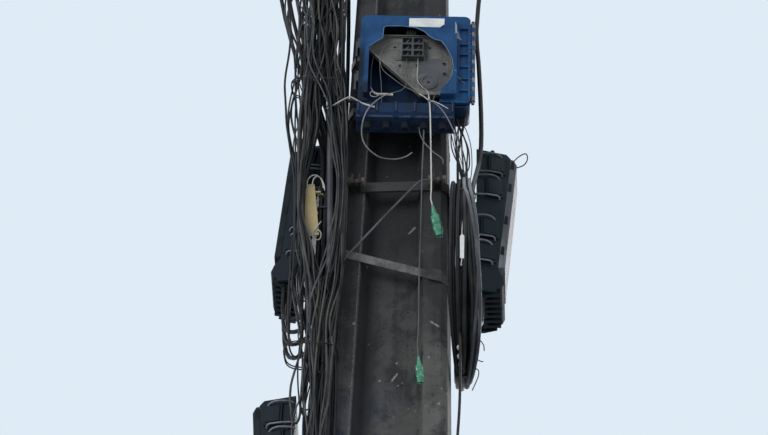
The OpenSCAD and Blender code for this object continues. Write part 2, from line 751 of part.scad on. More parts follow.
lower_routes = [
    [[-104, -96, 5348], [-126, -108, 5268], [-170, -118, 5160], [-206, -114, 5050], [-200, -104, 4920],
     [-178, -95, 4800], [-159, -84, 4730], [-155, -81, 4660], [-155, -81, 4500], [-155, -81, 4330],
     [-151, -87, 4250], [-141, -98, 4180], [-133, -104, 4070], [-132, -104, 3850], [-136, -106, 3720],
     [-136, -106, 3640], [-146, -94, 3592], [-171, -66, 3577], [-196, -38, 3592], [-207, -26, 3630],
     [-207, -26, 3665]],
    [[-60, -96, 5348], [-84, -110, 5260], [-138, -128, 5140], [-190, -126, 5020], [-186, -112, 4900],
     [-164, -96, 4790], [-148, -84, 4725], [-144, -81, 4660], [-144, -81, 4500], [-144, -81, 4330],
     [-140, -87, 4250], [-130, -98, 4180], [-122, -104, 4070], [-121, -104, 3850], [-122, -105, 3710],
     [-122, -105, 3620], [-134.7, -88.7, 3570], [-165.5, -49.5, 3549.5], [-196.3, -10.3, 3570], [-209, 6, 3620],
     [-209, 6, 3660]]];

// Cables that turn back in a loop below the lowest closure and climb again behind it
loop_routes = [
    [[-212, -96, 5345], [-204, -94, 5200], [-168, -90, 5000], [-143, -85, 4820], [-133, -81, 4720],
     [-133, -81, 4500], [-133, -81, 4330], [-129, -87, 4250], [-119, -98, 4180], [-111, -104, 4070],
     [-110, -104, 3850],
     [-110, -105, 3600], [-119, -106, 3500], [-144, -92, 3420], [-164, -40, 3385], [-162, 18, 3400],
     [-154, 42, 3490], [-149, 44, 3700], [-143, 44, 4100], [-140, 44, 4500], [-138, 44, 4900],
     [-140, 30, 5040], [-142, -20, 5160], [-141, -76, 5260], [-140, -96, 5345]],
    [[-194, -96, 5345], [-188, -94, 5200], [-155, -90, 5000], [-131, -85, 4820], [-122, -81, 4720],
     [-122, -81, 4500], [-122, -81, 4330], [-118, -88, 4250], [-108, -99, 4180], [-100, -104, 4070],
     [-99, -104, 3850],
     [-99, -105, 3600], [-106, -108, 3480], [-132, -102, 3360], [-152, -50, 3300], [-150, 10, 3310],
     [-144, 42, 3420], [-138, 44, 3700], [-131, 44, 4100], [-128, 44, 4500], [-126, 44, 4900],
     [-126, 30, 5040], [-124, -20, 5160], [-123, -76, 5260], [-122, -96, 5345]]];
thick_route = [[-176, -96, 5345], [-170, -102, 5200], [-154, -107, 5000], [-142, -104, 4800], [-138, -100, 4700],
    [-132, -98, 4550], [-125, -99, 4380], [-121, -102, 4290], [-120, -112, 4200], [-125, -119, 4100],
    [-136, -121, 4010], [-147, -119, 3930], [-152, -118, 3850], [-151, -126, 3760], [-149, -139, 3690],
    [-150, -140, 3640], [-158, -128, 3605], [-177.3, -98.8, 3590.5], [-196.6, -69.7, 3605], [-204.6, -57.6, 3640],
    [-204.6, -57.6, 3668]];
lead_route = [[190, -96, 5350], [183, -91, 5220], [173, -85, 5070], [178, -85, 4970], [181, -85, 4870],
    [181, -86, 4790], [180, -92, 4715], [174, -108, 4650], [164, -132, 4590]];
lead_foot = [158, -152, 4551];
tail_start = [155, -139.5, 4266];
tail_route = [[163, -122, 4257], [172, -102, 4252], [178, -78, 4256], [181, -58, 4280]];

// The feeder enters the box through its left wall
feeder_end = on_box([box_x - box_w / 2 - 0.4, box_back - 30, box_z + 43]);
feeder_fall = [[-158, -96, 5345], [-154, -101, 5200], [-148, -110, 5080], [-141, -120, 4980], [-136, -130, 4890]];
feeder_turn = [[-132, -134, 4854], [-121, -137, 4828], [-105, -139, 4818], [-91, -139, 4817]];

module left_cables() {
    color("#26272a") for (i = [0 : 3])
        tube(route(clamp_at(i), beside(left_routes[i]), port_at(left_place, 3 - i)), cable_d / 2);
}
module lower_cables() {
    color("#26272a") for (i = [0, 1])
        tube(route(clamp_at(10 + i), beside(lower_routes[i]), port_at(lower_place, 2 - i)), cable_d / 2);
}
module looped_cables() {
    color("#202124") for (i = [0, 1])
        tube(route(clamp_at(4 + i), beside(loop_routes[i]), clamp_at(8 + i)), cable_d / 2);
}
module thick_cable() {
    color("#55585b") tube(route(clamp_at(6), beside(thick_route), port_at(lower_place, 3)), thick_d / 2);
}
module feeder_cable() {
    color("#34363a") tube(concat([clamp_at(7)], smooth(concat(beside(feeder_fall), feeder_turn), 3),
        [feeder_end]), cable_d / 2);
}

module coil_lead() {
    color("#1c1d20") tube(concat([clamp_at(12)], smooth(beside(concat(lead_route, [lead_foot]), 1), 3)), lead_d / 2);
}
module coil_tail() {
    port = port_at(right_place, 0);
    color("#1c1d20") tube(concat(smooth(concat(beside(concat([tail_start], tail_route), 1),
        [port - [0, 0, 34]]), 3), [port]), lead_d / 2);
}

// Ties round the bundle beside the pole, worked out from the middle of its rows of cables
bundle_tie_z = [4343, 4560];
bundle_at = [-138.5 - side_move, -73.5];
bundle_w = 42.6;
bundle_d = 25.4;
tie_t = 1.4;

module bundle_ties() {
    color("#141518") for (z = bundle_tie_z) translate([bundle_at[0], bundle_at[1], z]) linear_extrude(5) difference() {
        round_rect(bundle_w + 2 * tie_t, bundle_d + 2 * tie_t, 6);
        round_rect(bundle_w, bundle_d, 4.6);
    }
}

// Wire that draws the bundle to the band clamp, from its bolt's head to the lower bundle tie
wire_d = 5;
wire_route = [[66, -106.5, 4612.5], [50, -108, 4602], [-4, -111, 4528], [-62, -114, 4444], [-106, -116, 4380],
    [-130, -115, 4354], [-144, -108, 4347], [-148, -98, 4345.5]];
wire_foot = [-148 - side_move, bundle_at[1] - bundle_d / 2 - tie_t, bundle_tie_z[0] + 2.5];

module tie_wire() {
    head = [band_right_x - ear_gap / 2 - band_t - 8, band_y - band_t * 1.5 - ear_l / 2, band_z + band_h / 2];
    color("#8d8a84") tube(concat([head], smooth(wire_route, 3), [wire_foot]), wire_d / 2);
}

// Number plate tied to the outer cable of the bundle's front row
plate_h = 142;
plate_w = 28;
plate_t = 3;
plate_lean = 6.7;
plate_foot = [-166 - side_move, -94.5, 4476];
plate_ring = [bundle_at[0] - 16.5, bundle_at[1] - 7.5, plate_foot[2] + plate_h - 22];

module tag_plate() {
    color("#c9a93a") {
        translate(plate_foot) rotate([0, -plate_lean, 0]) difference() {
            facing(0, plate_t) translate([0, plate_h / 2]) round_rect(plate_w, plate_h, 3);
            for (z = [8, plate_h - 8], x = [-1, 1]) translate([x * (plate_w / 2 - 6), 0, z]) facing(1, 6) circle(2);
        }
        translate(plate_ring) difference() {
            union() {
                cylinder(h = 4, r = cable_d / 2 + 2.2);
                translate([-18, plate_foot[1] - plate_ring[1] - 0.5, 0]) cube([18, 5, 4]);
            }
            translate([0, 0, -1]) cylinder(h = 6, r = cable_d / 2 + 0.5);
        }
    }
}

// Drops that hang out of the broken box, two of them with a connector
grommet_h = 16;
function grommet(i) = on_box([lip_x + (i - 2) * lip_pitch, (lip_back + lip_front) / 2, box_z - lip_h - grommet_h]);
upper_end = [88, -178, 4481];
upper_lean = 11;
lower_end = [63, -134, 4132];
lower_lean = 5;
upper_route = [[45, -162, 4880], [50, -167, 4845], [62, -176, 4815], [72, -187, 4796], [77, -191, 4772],
    [80, -188, 4735], [82, -182, 4660], [84, -179, 4580], [85, -178, 4530], [84, -178, 4500]];
lower_route = [[66, -136, 4690], [62, -135, 4610], [62, -134, 4480], [61, -134, 4340], [62, -134, 4220],
    [62, -134, 4160]];
pigtail_route = [[21, -162, 4880], [26, -168, 4840], [18, -180, 4806], [-20, -190, 4780], [-52, -188, 4745],
    [-64, -182, 4700], [-58, -174, 4660], [-30, -162, 4632], [4, -148, 4632], [24, -139, 4660],
    [28, -137, 4695]];
function drop_start(side) = on_box([adapter_x + side * adapter_w / 4, post_y - tray_t - 8, adapter_z - adapter_h / 2]);

module upper_drop() { color("#d8d6cc") tube(route(drop_start(1), upper_route, upper_end, upper_lean), drop_d / 2); }
module lower_drop() { color("#b8b6ac") tube(route(grommet(3), lower_route, lower_end, lower_lean), drop_d / 2); }
module pigtail() { color("#c4c2b8") tube(route(drop_start(-1), pigtail_route, grommet(2)), drop_d / 2); }

// A connector hangs from its tip, with its foot swung to the right
module connector(tip, lean, l, d) {
    translate(tip) rotate([0, -lean, 0]) translate([0, 0, -l]) {
        cylinder(h = l * 0.3, d = d);
        translate([0, 0, l * 0.3]) cylinder(h = l * 0.06, d = d * 0.8);
        translate([0, 0, l * 0.36]) cylinder(h = l * 0.3, d = d);
        translate([0, 0, l * 0.66]) cylinder(h = l * 0.34, d1 = d * 0.85, d2 = drop_d + 2);
    }
}

module upper_connector() {
    color("#3f9d5c") connector(upper_end, upper_lean, connector_l, connector_d);
}
module lower_connector() {
    color("#3f9d5c") connector(lower_end, lower_lean, connector_l * 0.77, connector_d * 0.8);
}

pole_shaft();
band_front();
band_rear();
band_bolts();
loose_strap();
strap_buckle();
box_rails();
box_straps();
box_base();
base_knuckles();
box_door();
hinge_pin();
cable_lip();
lip_grommets();
door_latches();
splice_tray();
adapter_block();
right_closure_body();
right_closure_cover();
right_closure_clips();
right_closure_gland();
right_closure_bracket();
left_closure_body();
left_closure_cover();
left_closure_clips();
left_closure_gland();
left_closure_bracket();
lower_closure_body();
lower_closure_cover();
lower_closure_clips();
lower_closure_gland();
lower_closure_bracket();
slack_coil();
coil_ties();
coil_lead();
coil_tail();
cable_bar();
bar_clamps();
left_cables();
lower_cables();
looped_cables();
thick_cable();
feeder_cable();
bundle_ties();
tie_wire();
tag_plate();
upper_drop();
upper_connector();
lower_drop();
lower_connector();
pigtail();
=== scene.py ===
# A cast concrete telephone pole with its broken fibre box, closures, spare coil and cables
from math import atan, cos, pi, radians, sin, tan

import bpy
import numpy as np
from mathutils import Matrix, Vector


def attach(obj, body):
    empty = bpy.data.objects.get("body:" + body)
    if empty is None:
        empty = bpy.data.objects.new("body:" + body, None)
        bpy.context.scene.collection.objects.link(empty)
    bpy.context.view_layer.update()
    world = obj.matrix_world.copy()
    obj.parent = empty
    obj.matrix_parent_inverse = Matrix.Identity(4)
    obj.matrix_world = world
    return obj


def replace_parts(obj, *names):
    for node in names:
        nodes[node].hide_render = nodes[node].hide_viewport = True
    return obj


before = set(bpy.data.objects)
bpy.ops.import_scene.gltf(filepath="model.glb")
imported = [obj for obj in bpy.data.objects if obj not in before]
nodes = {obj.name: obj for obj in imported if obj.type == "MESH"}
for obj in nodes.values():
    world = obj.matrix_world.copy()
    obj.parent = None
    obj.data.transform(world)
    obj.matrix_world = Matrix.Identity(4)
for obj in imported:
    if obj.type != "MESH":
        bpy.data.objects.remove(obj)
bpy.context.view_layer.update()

# The camera stands in the street, a little right of the pole, and looks steeply up at the box. Its place,
# its angles and its lens were fitted to the photo.
camera_place = (0.3222, -3.5675, 1.5943)
yaw, pitch, roll = radians(5.6), radians(40), radians(2.16)
ahead = Vector((-sin(yaw) * cos(pitch), cos(yaw) * cos(pitch), sin(pitch)))
level = Vector((cos(yaw), sin(yaw), 0))
over = level.cross(ahead)
across = cos(roll) * level + sin(roll) * over
upward = cos(roll) * over - sin(roll) * level
street_lens = bpy.data.cameras.new("street_camera")
street_lens.sensor_width = 36
street_lens.lens = 102.4
street_lens.clip_start = 0.01
street_camera = bpy.data.objects.new("street_camera", street_lens)
street_camera.matrix_world = Matrix([*zip(across, upward, -ahead, camera_place), (0, 0, 0, 1)])
bpy.context.scene.collection.objects.link(street_camera)
bpy.context.scene.camera = street_camera


# Cords. The spare cable comes down from the bar, is wound into a coil and goes into the right closure.
# Two thin drops with green connectors and one loose loop hang out of the broken box.
# All are extruded plastic round glass fibre, so each is a tube along a smooth path.
def mm(points):
    """Points given in millimetres, as metres."""
    return np.asarray(points, float) / 1000


def xyz(x, y, z):
    """Points from their coordinates. A single number holds for all of them."""
    return np.stack(np.broadcast_arrays(x, y, z), -1)


def smooth(points, steps=6):
    """Catmull-Rom curve: each span between two points is the cubic that leaves and reaches them along
    the chord of their neighbours."""
    p = np.asarray(points, float)
    before = np.concatenate([p[:1], p[:-2]])
    after = np.concatenate([p[2:], p[-1:]])
    a, b, c, d = before[:, None], p[:-1, None], p[1:, None], after[:, None]
    u = np.linspace(0, 1, steps, endpoint=False)[None, :, None]
    spans = 0.5 * (2 * b + (c - a) * u + (2 * a - 5 * b + 4 * c - d) * u ** 2
                   + (3 * b - a - 3 * c + d) * u ** 3)
    return np.concatenate([spans.reshape(-1, 3), p[-1:]])


def rise(t):
    """A smooth step from 0 to 1 as t does the same: 3 t^2 - 2 t^3."""
    t = np.clip(t, 0, 1)
    return t * t * (3 - 2 * t)


def unit(v):
    """Each vector divided by its own length."""
    return v / np.maximum(np.linalg.norm(v, axis=-1, keepdims=True), 1e-12)


def frames(path):
    """Two directions square to a path at each point. The first is carried along the path and freed of
    its part along the tangent, so it doesn't twist; the second is tangent x first."""
    tangent = unit(np.gradient(path, axis=0))
    side = np.array([1.0, 0, 0]) if abs(tangent[0][0]) < 0.9 else np.array([0, 1.0, 0])
    first = np.empty_like(path)
    for i, t in enumerate(tangent):
        side = unit(side - (side @ t) * t)
        first[i] = side
    return first, np.cross(tangent, first)


def tube(path, radius, sides=8):
    """Rings square to a path: path + radius * (cos a * first + sin a * second). The radius is one
    number or one for each point."""
    first, second = frames(path)
    a = np.linspace(0, 2 * pi, sides, endpoint=False)
    ring = np.cos(a)[None, :, None] * first[:, None] + np.sin(a)[None, :, None] * second[:, None]
    return path[:, None] + np.broadcast_to(radius, len(path))[:, None, None] * ring


def piece(name, parts, finish, body="pole", closed=True, flat=False):
    """One mesh from grids of points. Neighbours on a grid make quads. On a closed grid each row joins
    up with itself and the first and last rows are filled, so that it is a closed skin."""
    points, faces, count = [], [], 0
    for grid in parts:
        rows, cols = grid.shape[:2]
        index = np.arange(rows * cols).reshape(rows, cols) + count
        ends = []
        if closed:
            ends = [index[0].tolist(), index[-1, ::-1].tolist()]
            index = np.concatenate([index, index[:, :1]], axis=1)
        quads = np.stack([index[:-1, :-1], index[1:, :-1], index[1:, 1:], index[:-1, 1:]], axis=-1)
        faces += quads[..., ::-1].reshape(-1, 4).tolist() + ends
        points.append(grid.reshape(-1, 3))
        count += rows * cols
    mesh = bpy.data.meshes.new(name)
    mesh.from_pydata(np.concatenate(points).tolist(), [], faces)
    mesh.polygons.foreach_set("use_smooth", [not flat] * len(faces))
    mesh.materials.append(finish.material)
    made = bpy.data.objects.new(name, mesh)
    bpy.context.scene.collection.objects.link(made)
    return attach(made, body) if body else made


def free_cord(name, line, radius, finish, diameter):
    """A tube along a line in metres."""
    cord = piece(name, [tube(line, radius)], finish)
    return cord


class Wire:
    """One output of a shader node. Arithmetic on it adds Math nodes, also with the number first."""

    def __init__(self, net, socket):
        self.net, self.socket = net, socket

    def sum(self, operation, *terms):
        return self.net.add("ShaderNodeMath", {"operation": operation}, dict(enumerate(terms)))

    def __add__(self, other):
        return self.sum("ADD", self, other)

    def __sub__(self, other):
        return self.sum("SUBTRACT", self, other)

    def __rsub__(self, other):
        return self.sum("SUBTRACT", other, self)

    def __mul__(self, other):
        return self.sum("MULTIPLY", self, other)

    __radd__ = __add__
    __rmul__ = __mul__

    def size(self):
        """Its value without the sign."""
        return self.sum("ABSOLUTE", self)

    def ramp(self, low, high):
        """0 at low and 1 at high, with a smooth rise between them. Low may be the larger number."""
        return self.net.add("ShaderNodeMapRange", {"interpolation_type": "SMOOTHSTEP"},
                            {0: self, 1: low, 2: high})


class Net:
    """A node tree that is written as expressions."""

    def __init__(self, tree):
        self.tree = tree
        tree.nodes.clear()

    def add(self, kind, settings=None, values=None, out=0):
        """Adds a node: its settings first, then the value or link of each socket."""
        node = self.tree.nodes.new(kind)
        for name, value in (settings or {}).items():
            setattr(node, name, value)
        for key, value in (values or {}).items():
            socket = node.inputs[key]
            if isinstance(value, Wire):
                self.tree.links.new(value.socket, socket)
            elif socket.type == "RGBA":
                socket.default_value = (*value, 1)
            else:
                socket.default_value = value
        return Wire(self, node.outputs[out]) if len(node.outputs) else None


class Finish(Net):
    """A material whose patterns lie on object coordinates, in metres."""

    def __init__(self, name):
        self.material = bpy.data.materials.new(name)
        self.material.use_nodes = True
        super().__init__(self.material.node_tree)
        self.place = self.add("ShaderNodeTexCoord", out="Object")
        self.x, self.y, self.z = [self.add("ShaderNodeSeparateXYZ", None, {0: self.place}, k)
                                  for k in range(3)]

    def laid(self, shift, stretch=(1, 1, 1)):
        """Object coordinates shifted and stretched."""
        return self.add("ShaderNodeMapping", None, {0: self.place, 1: (shift, shift, shift), 3: stretch})

    def noise(self, scale, detail, rough=0.55, stretch=(1, 1, 1), shift=0.0, warp=0.0):
        """Cloudy noise from about 0.3 to 0.7, stretched along an axis by a small factor there."""
        return self.add("ShaderNodeTexNoise", None, {
            "Vector": self.laid(shift, stretch), "Scale": scale, "Detail": detail, "Roughness": rough,
            "Distortion": warp})

    def specks(self, scale, shift=0.0):
        """Distance to the nearest of scattered points, in cells."""
        return self.add("ShaderNodeTexVoronoi", None, {"Vector": self.laid(shift), "Scale": scale})

    def mix(self, share, first, second):
        """The first colour where the share is 0, the second where it is 1."""
        return self.add("ShaderNodeMix", {"data_type": "RGBA"}, {0: share, 6: first, 7: second}, 2)

    def lay(self, share, colour):
        """Lays one more colour over those below, where the share is 1."""
        self.colour = self.mix(share, self.colour, colour)

    def done(self, roughness, bump=None, depth=0.001, metallic=0.0, coat=0.0, shine=0.5):
        """Wires the layers of colour, the gloss and the bump to the output."""
        values = {"Base Color": self.colour, "Roughness": roughness, "Metallic": metallic,
                  "Coat Weight": coat, "Specular IOR Level": shine}
        if bump is not None:
            values["Normal"] = self.add("ShaderNodeBump", None,
                                        {"Strength": 1.0, "Distance": depth, "Height": bump})
        self.add("ShaderNodeOutputMaterial", None, {0: self.add("ShaderNodeBsdfPrincipled", None, values)})
        return self


def weathered(name, fresh, worn, grime, dirt, streak, roughness, metallic=0.0, grain=220, depth=0.0004,
              shine=0.5):
    """A surface that has hung outdoors: broad fading between two colours, grime in patches and in
    runs down the piece, and a fine grain that also breaks the gloss."""
    f = Finish(name)
    broad = f.noise(9, 5)
    runs = f.noise(55, 4, 0.6, (1, 1, 0.06), 3.1)
    fine = f.noise(grain, 3, 0.7, shift=7.7)
    clean = 0.62 - 0.3 * dirt
    soil = (broad * (1 - streak) + runs * streak + (fine - 0.5) * 0.25).ramp(clean, clean + 0.16)
    f.colour = f.mix(f.noise(26, 4, 0.6, shift=1.3).ramp(0.38, 0.66), fresh, worn)
    f.lay(fine.ramp(0.3, 0.8) * 0.35, [0.5 * (a + b) for a, b in zip(fresh, grime)])
    f.lay(soil * 0.85, grime)
    gloss = roughness + soil * (0.85 - roughness) * 0.7 + (fine - 0.5) * 0.12
    return f.done(gloss, fine + soil * 0.6 + broad * 0.4, depth, metallic, shine=shine)


cable_black = weathered("cable_black", (0.006, 0.007, 0.009), (0.012, 0.013, 0.015), (0.034, 0.032, 0.029),
                        0.3, 0.2, 0.5, grain=300, shine=0.18)
drop_white = weathered("drop_white", (0.46, 0.455, 0.43), (0.31, 0.305, 0.285), (0.15, 0.14, 0.12),
                       0.4, 0.2, 0.45, grain=400)
coil_middle = np.array([0.1451, 0, 4.4125])
coil_r, coil_slot_r, coil_slots, coil_cable_d = 0.204, 0.0118, 7, 0.010
gear_turn = radians(4)
coil_along = np.array([cos(gear_turn), sin(gear_turn), 0])
coil_level = np.array([-sin(gear_turn), cos(gear_turn), 0])
coil_up = np.array([0, 0, 1.0])
coil_from, coil_to = radians(137.3), radians(226.1 + 360 * (coil_slots - 1))


def coil_finish(name, shade, worn, dust):
    """Cable plastic, with a pale layer on the upper front of the coil that is partly dust and partly painted
    highlight.
    """
    f = Finish(name)
    fine = f.noise(300, 3, 0.7)
    f.colour = f.mix(f.noise(26, 4, 0.6).ramp(0.38, 0.66), shade, worn)
    f.lay(f.noise(9, 5, shift=2).ramp(0.5, 0.7) * 0.5, (0.034, 0.032, 0.029))
    # Painted highlight mixed with dust: the upper front of the coil is laid over with the pale colour.
    top = f.z.ramp(4.42, 4.53) * f.z.ramp(4.67, 4.62) * f.x.ramp(0.137, 0.141) * f.y.ramp(-0.02, -0.07)
    f.lay(top * fine.ramp(0.2, 0.55) * 0.8, dust)
    return f.done(0.5, fine, 0.0003, shine=0.2)


def coil_path(turn):
    """The wound cable: a ring of radius coil_r in an upright plane, and round its line a slow circle
    of radius coil_slot_r that moves on by one slot each turn, so that the turns lie side by side."""
    turn = np.asarray(turn)[:, None]
    out = np.cos(turn) * coil_level + np.sin(turn) * coil_up
    slot = radians(80) + (turn - coil_from) / coil_slots
    return coil_middle + coil_r * out + coil_slot_r * (np.cos(slot) * out + np.sin(slot) * coil_along)


lead_points = mm([[190, -96, 5378], [190, -96, 5350], [183, -91, 5220], [173, -85, 5070], [178, -85, 4970],
                  [182, -85, 4870], [184, -87, 4790], [184, -94, 4715], [180, -110, 4650],
                  [173, -132, 4592]])
tail_points = mm([[169, -128, 4248], [175, -106, 4243], [181, -80, 4251], [183, -58, 4272],
                  [184, -48, 4308], [184, -48, 4342]])
wound = coil_path(np.arange(coil_from, coil_to, radians(12)))
coil_line = smooth(np.concatenate([lead_points, wound[1:-1], tail_points]), 2)
coil_black = coil_finish("coil_black", (0.006, 0.007, 0.009), (0.013, 0.014, 0.016), (0.08, 0.082, 0.086))
coil_cable = piece("coil_cable", [tube(coil_line, coil_cable_d / 2, 10)], coil_black)
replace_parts(coil_cable, "slack_coil", "coil_lead", "coil_tail")


def loose_turn(reach, degrees, shifts):
    """A turn that has slipped sideways: a ring of radius reach over part of the coil, moved along the
    coil's axis by shifts, in millimetres, at the given degrees. Both ends are tucked into the coil."""
    a = np.radians(np.arange(degrees[0], degrees[-1] + 1, 5.0))[:, None]
    knots = smooth([[d, s, 0] for d, s in zip(degrees, shifts)])
    shift = mm(np.interp(np.degrees(a), knots[:, 0], knots[:, 1]))
    radius = coil_r + (reach - coil_r) * rise(np.minimum(a - a[0], a[-1] - a) / 0.35)
    return coil_middle + radius * (np.cos(a) * coil_level + np.sin(a) * coil_up) + shift * coil_along


# The slipped turns are grey cable; the pale layer on their upper front is dust and painted highlight.
slipped_grey = coil_finish("slipped_grey", (0.04, 0.045, 0.054), (0.07, 0.076, 0.084),
                           (0.24, 0.245, 0.255))
for name, finish, slot, radius, turns in (
        ("slipped_turns", slipped_grey, "cable_grey", 0.0036, [
            (0.2215, (85, 110, 150, 160, 170, 180, 190, 200, 220, 240, 260, 300),
             (0, -3, -5, 0, 6, 11, 16, 22, 28, 29, 25, 6)),
            (0.2205, (85, 110, 150, 165, 180, 200, 220, 240, 300), (4, 8, 6, 12, 18, 23, 24, 20, 6))]),
        ("inner_turns", cable_black, "cable_black", 0.004, [
            (0.213, (80, 110, 150, 190, 215, 245, 270, 310), (-6, -22, -30, -32, -31, -24, -15, -4)),
            (0.209, (75, 100, 140, 180, 215, 245, 270, 310), (-4, -18, -24, -26, -25, -18, -10, -4)),
            (0.218, (90, 120, 160, 190, 220, 245, 270, 310), (0, 2, 3, 11, 20, 22, 17, 4)),
            (0.215, (90, 120, 160, 190, 220, 245, 270, 310), (0, 0, 3, 5, 13, 15, 10, 2)),
            (0.217, (90, 120, 170, 200, 230, 255, 275, 310), (-3, -11, -18, -18, -15, -9, 0, 0))])):
    piece(name, [tube(loose_turn(*turn), radius) for turn in turns], finish)


box_x, box_back = 38.5, -99.744


def on_box(points):
    """Points drawn square to the pole, in millimetres, turned with the box about the middle of its back."""
    p = np.asarray(points, float)
    x, y = p[..., 0] - box_x, p[..., 1] - box_back
    return xyz(box_x + x * cos(gear_turn) - y * sin(gear_turn),
               box_back + x * sin(gear_turn) + y * cos(gear_turn), p[..., 2])


def connector_skin(tip, lean, length, width):
    """A push-pull connector with its long boot: rounded squares along a line that leans, whose half
    width follows a profile from the dust cap up to the cable. Its corners come from a superellipse,
    r = (|cos a|^n + |sin a|^n)^(-1/n). Each row of the profile is a height, a half width and n."""
    profile = np.array([[0, .62, 4], [.02, .78, 4], [.13, .80, 4], [.15, .93, 6], [.165, 1, 6], [.30, 1, 6],
                        [.31, .86, 6], [.345, .86, 6], [.355, 1, 7], [.60, .98, 7], [.625, .84, 5],
                        [.65, .70, 3], [.69, .70, 2.2], [.70, .56, 2], [.715, .66, 2], [.74, .63, 2],
                        [.75, .50, 2], [.765, .60, 2], [.79, .56, 2], [.80, .44, 2], [.815, .53, 2],
                        [.84, .48, 2], [.85, .37, 2], [.87, .44, 2], [.93, .34, 2], [1, .24, 2]])
    height, half, n = profile[:, 0:1], profile[:, 1:2], profile[:, 2:3]
    a = np.linspace(0, 2 * pi, 24, endpoint=False)[None, :]
    r = 0.48 * width * half * (np.abs(np.cos(a)) ** n + np.abs(np.sin(a)) ** n) ** (-1 / n)
    x, y, z = r * np.cos(a), 0.86 * r * np.sin(a), (height - 1) * length
    t = radians(-lean)
    return mm(xyz(x * cos(t) + z * sin(t), y, z * cos(t) - x * sin(t)) + tip)


def green_plastic():
    """Translucent green moulding: deeper where the wall is thick, with dust in the hollows."""
    f = Finish("connector_green")
    cloudy = f.noise(120, 3)
    dust = f.noise(60, 5, 0.65, shift=4).ramp(0.5, 0.75)
    f.colour = f.mix(cloudy.ramp(0.35, 0.7), (0.014, 0.135, 0.066), (0.04, 0.235, 0.135))
    f.lay(dust * 0.5, (0.11, 0.17, 0.13))
    return f.done(0.28 + dust * 0.4, cloudy, 0.0003, coat=0.3)


def plugged(start, points, tip, lean, depth):
    """A drop's line: an upright start, a smooth run, and its end inside the plug, along the plug's lean."""
    p = np.asarray(points, float)
    p[0, :2] = start[:2]
    t = radians(lean)
    p[-1, :2] = tip[0] - tan(t) * (p[-1, 2] - tip[2]), tip[1]
    inside = tip + np.linspace(0, depth, 5)[1:, None] * np.array([sin(t), 0, -cos(t)])
    return mm(np.concatenate([[start], smooth(p), [tip], inside]))


# The upper drop and the loop leave the lower edge of the adapter block, the lower drop a grommet.
connector_green = green_plastic()
upper_start, loop_start = on_box([[45, -165.244, 4912], [21, -165.244, 4912]])
lower_start = on_box([61, -148.244, 4719])
upper_end, lower_end = np.array([88, -178, 4481.0]), np.array([63, -134, 4132.0])
upper_lean, lower_lean = 11, 5
upper_points = [[45, -162, 4880], [50, -167, 4845], [62, -176, 4815], [72, -187, 4796], [77, -191, 4772],
                [80, -188, 4735], [82, -182, 4660], [84, -179, 4580], [85, -178, 4530], [84, -178, 4500]]
lower_points = [[66, -136, 4690], [62, -135, 4610], [62, -134, 4480], [61, -134, 4340], [62, -134, 4220],
                [62, -134, 4160]]
loop_points = [[21, -162, 4880], [26, -168, 4840], [18, -180, 4806], [-20, -190, 4780], [-52, -188, 4745],
               [-64, -182, 4700], [-58, -174, 4660], [-30, -162, 4634], [2, -151, 4634], [26, -147, 4643],
               [41, -146, 4656]]
upper_line = plugged(upper_start, upper_points, upper_end, upper_lean, 36)
lower_line = plugged(lower_start, lower_points, lower_end, lower_lean, 24)
loop_line = mm(np.concatenate([[loop_start], smooth(loop_points)]))
upper_plug = piece("upper_plug", [connector_skin(upper_end, upper_lean, 83, 20)], connector_green)
lower_plug = piece("lower_plug", [connector_skin(lower_end, lower_lean, 63.9, 16)], connector_green)
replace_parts(upper_plug, "upper_connector")
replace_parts(lower_plug, "lower_connector")
drop_dusty = weathered("drop_dusty", (0.155, 0.16, 0.165), (0.11, 0.112, 0.115), (0.055, 0.053, 0.05),
                       0.4, 0.2, 0.45, grain=400)
# Partly dirt and partly painted shade: the lower drop is the white drop cable darkened to grey.
drop_dirt_and_shade = weathered("drop_dirt_and_shade", (0.06, 0.062, 0.066), (0.038, 0.04, 0.044), (0.025, 0.024, 0.023),
                      0.4, 0.2, 0.45, grain=400)
core_r, sheath_wall, stripped_z, stripped_over = 0.0006, 0.0009, 4.775, 0.02
for name, line, plugs, node, finish, far_end in (
        ("upper_fibre", upper_line, [upper_plug], "upper_drop", drop_white, "connector"),
        ("lower_fibre", lower_line, [lower_plug], "lower_drop", drop_dirt_and_shade, "connector"),
        ("loop_fibre", loop_line, [], "pigtail", drop_dusty, "bare")):
    stripped = np.clip((line[:, 2] - stripped_z) / stripped_over, 0, 1) * (name != "lower_fibre")
    radius = core_r + sheath_wall * (1 - stripped)
    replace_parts(free_cord(name, line, radius, finish, 0.003), node)

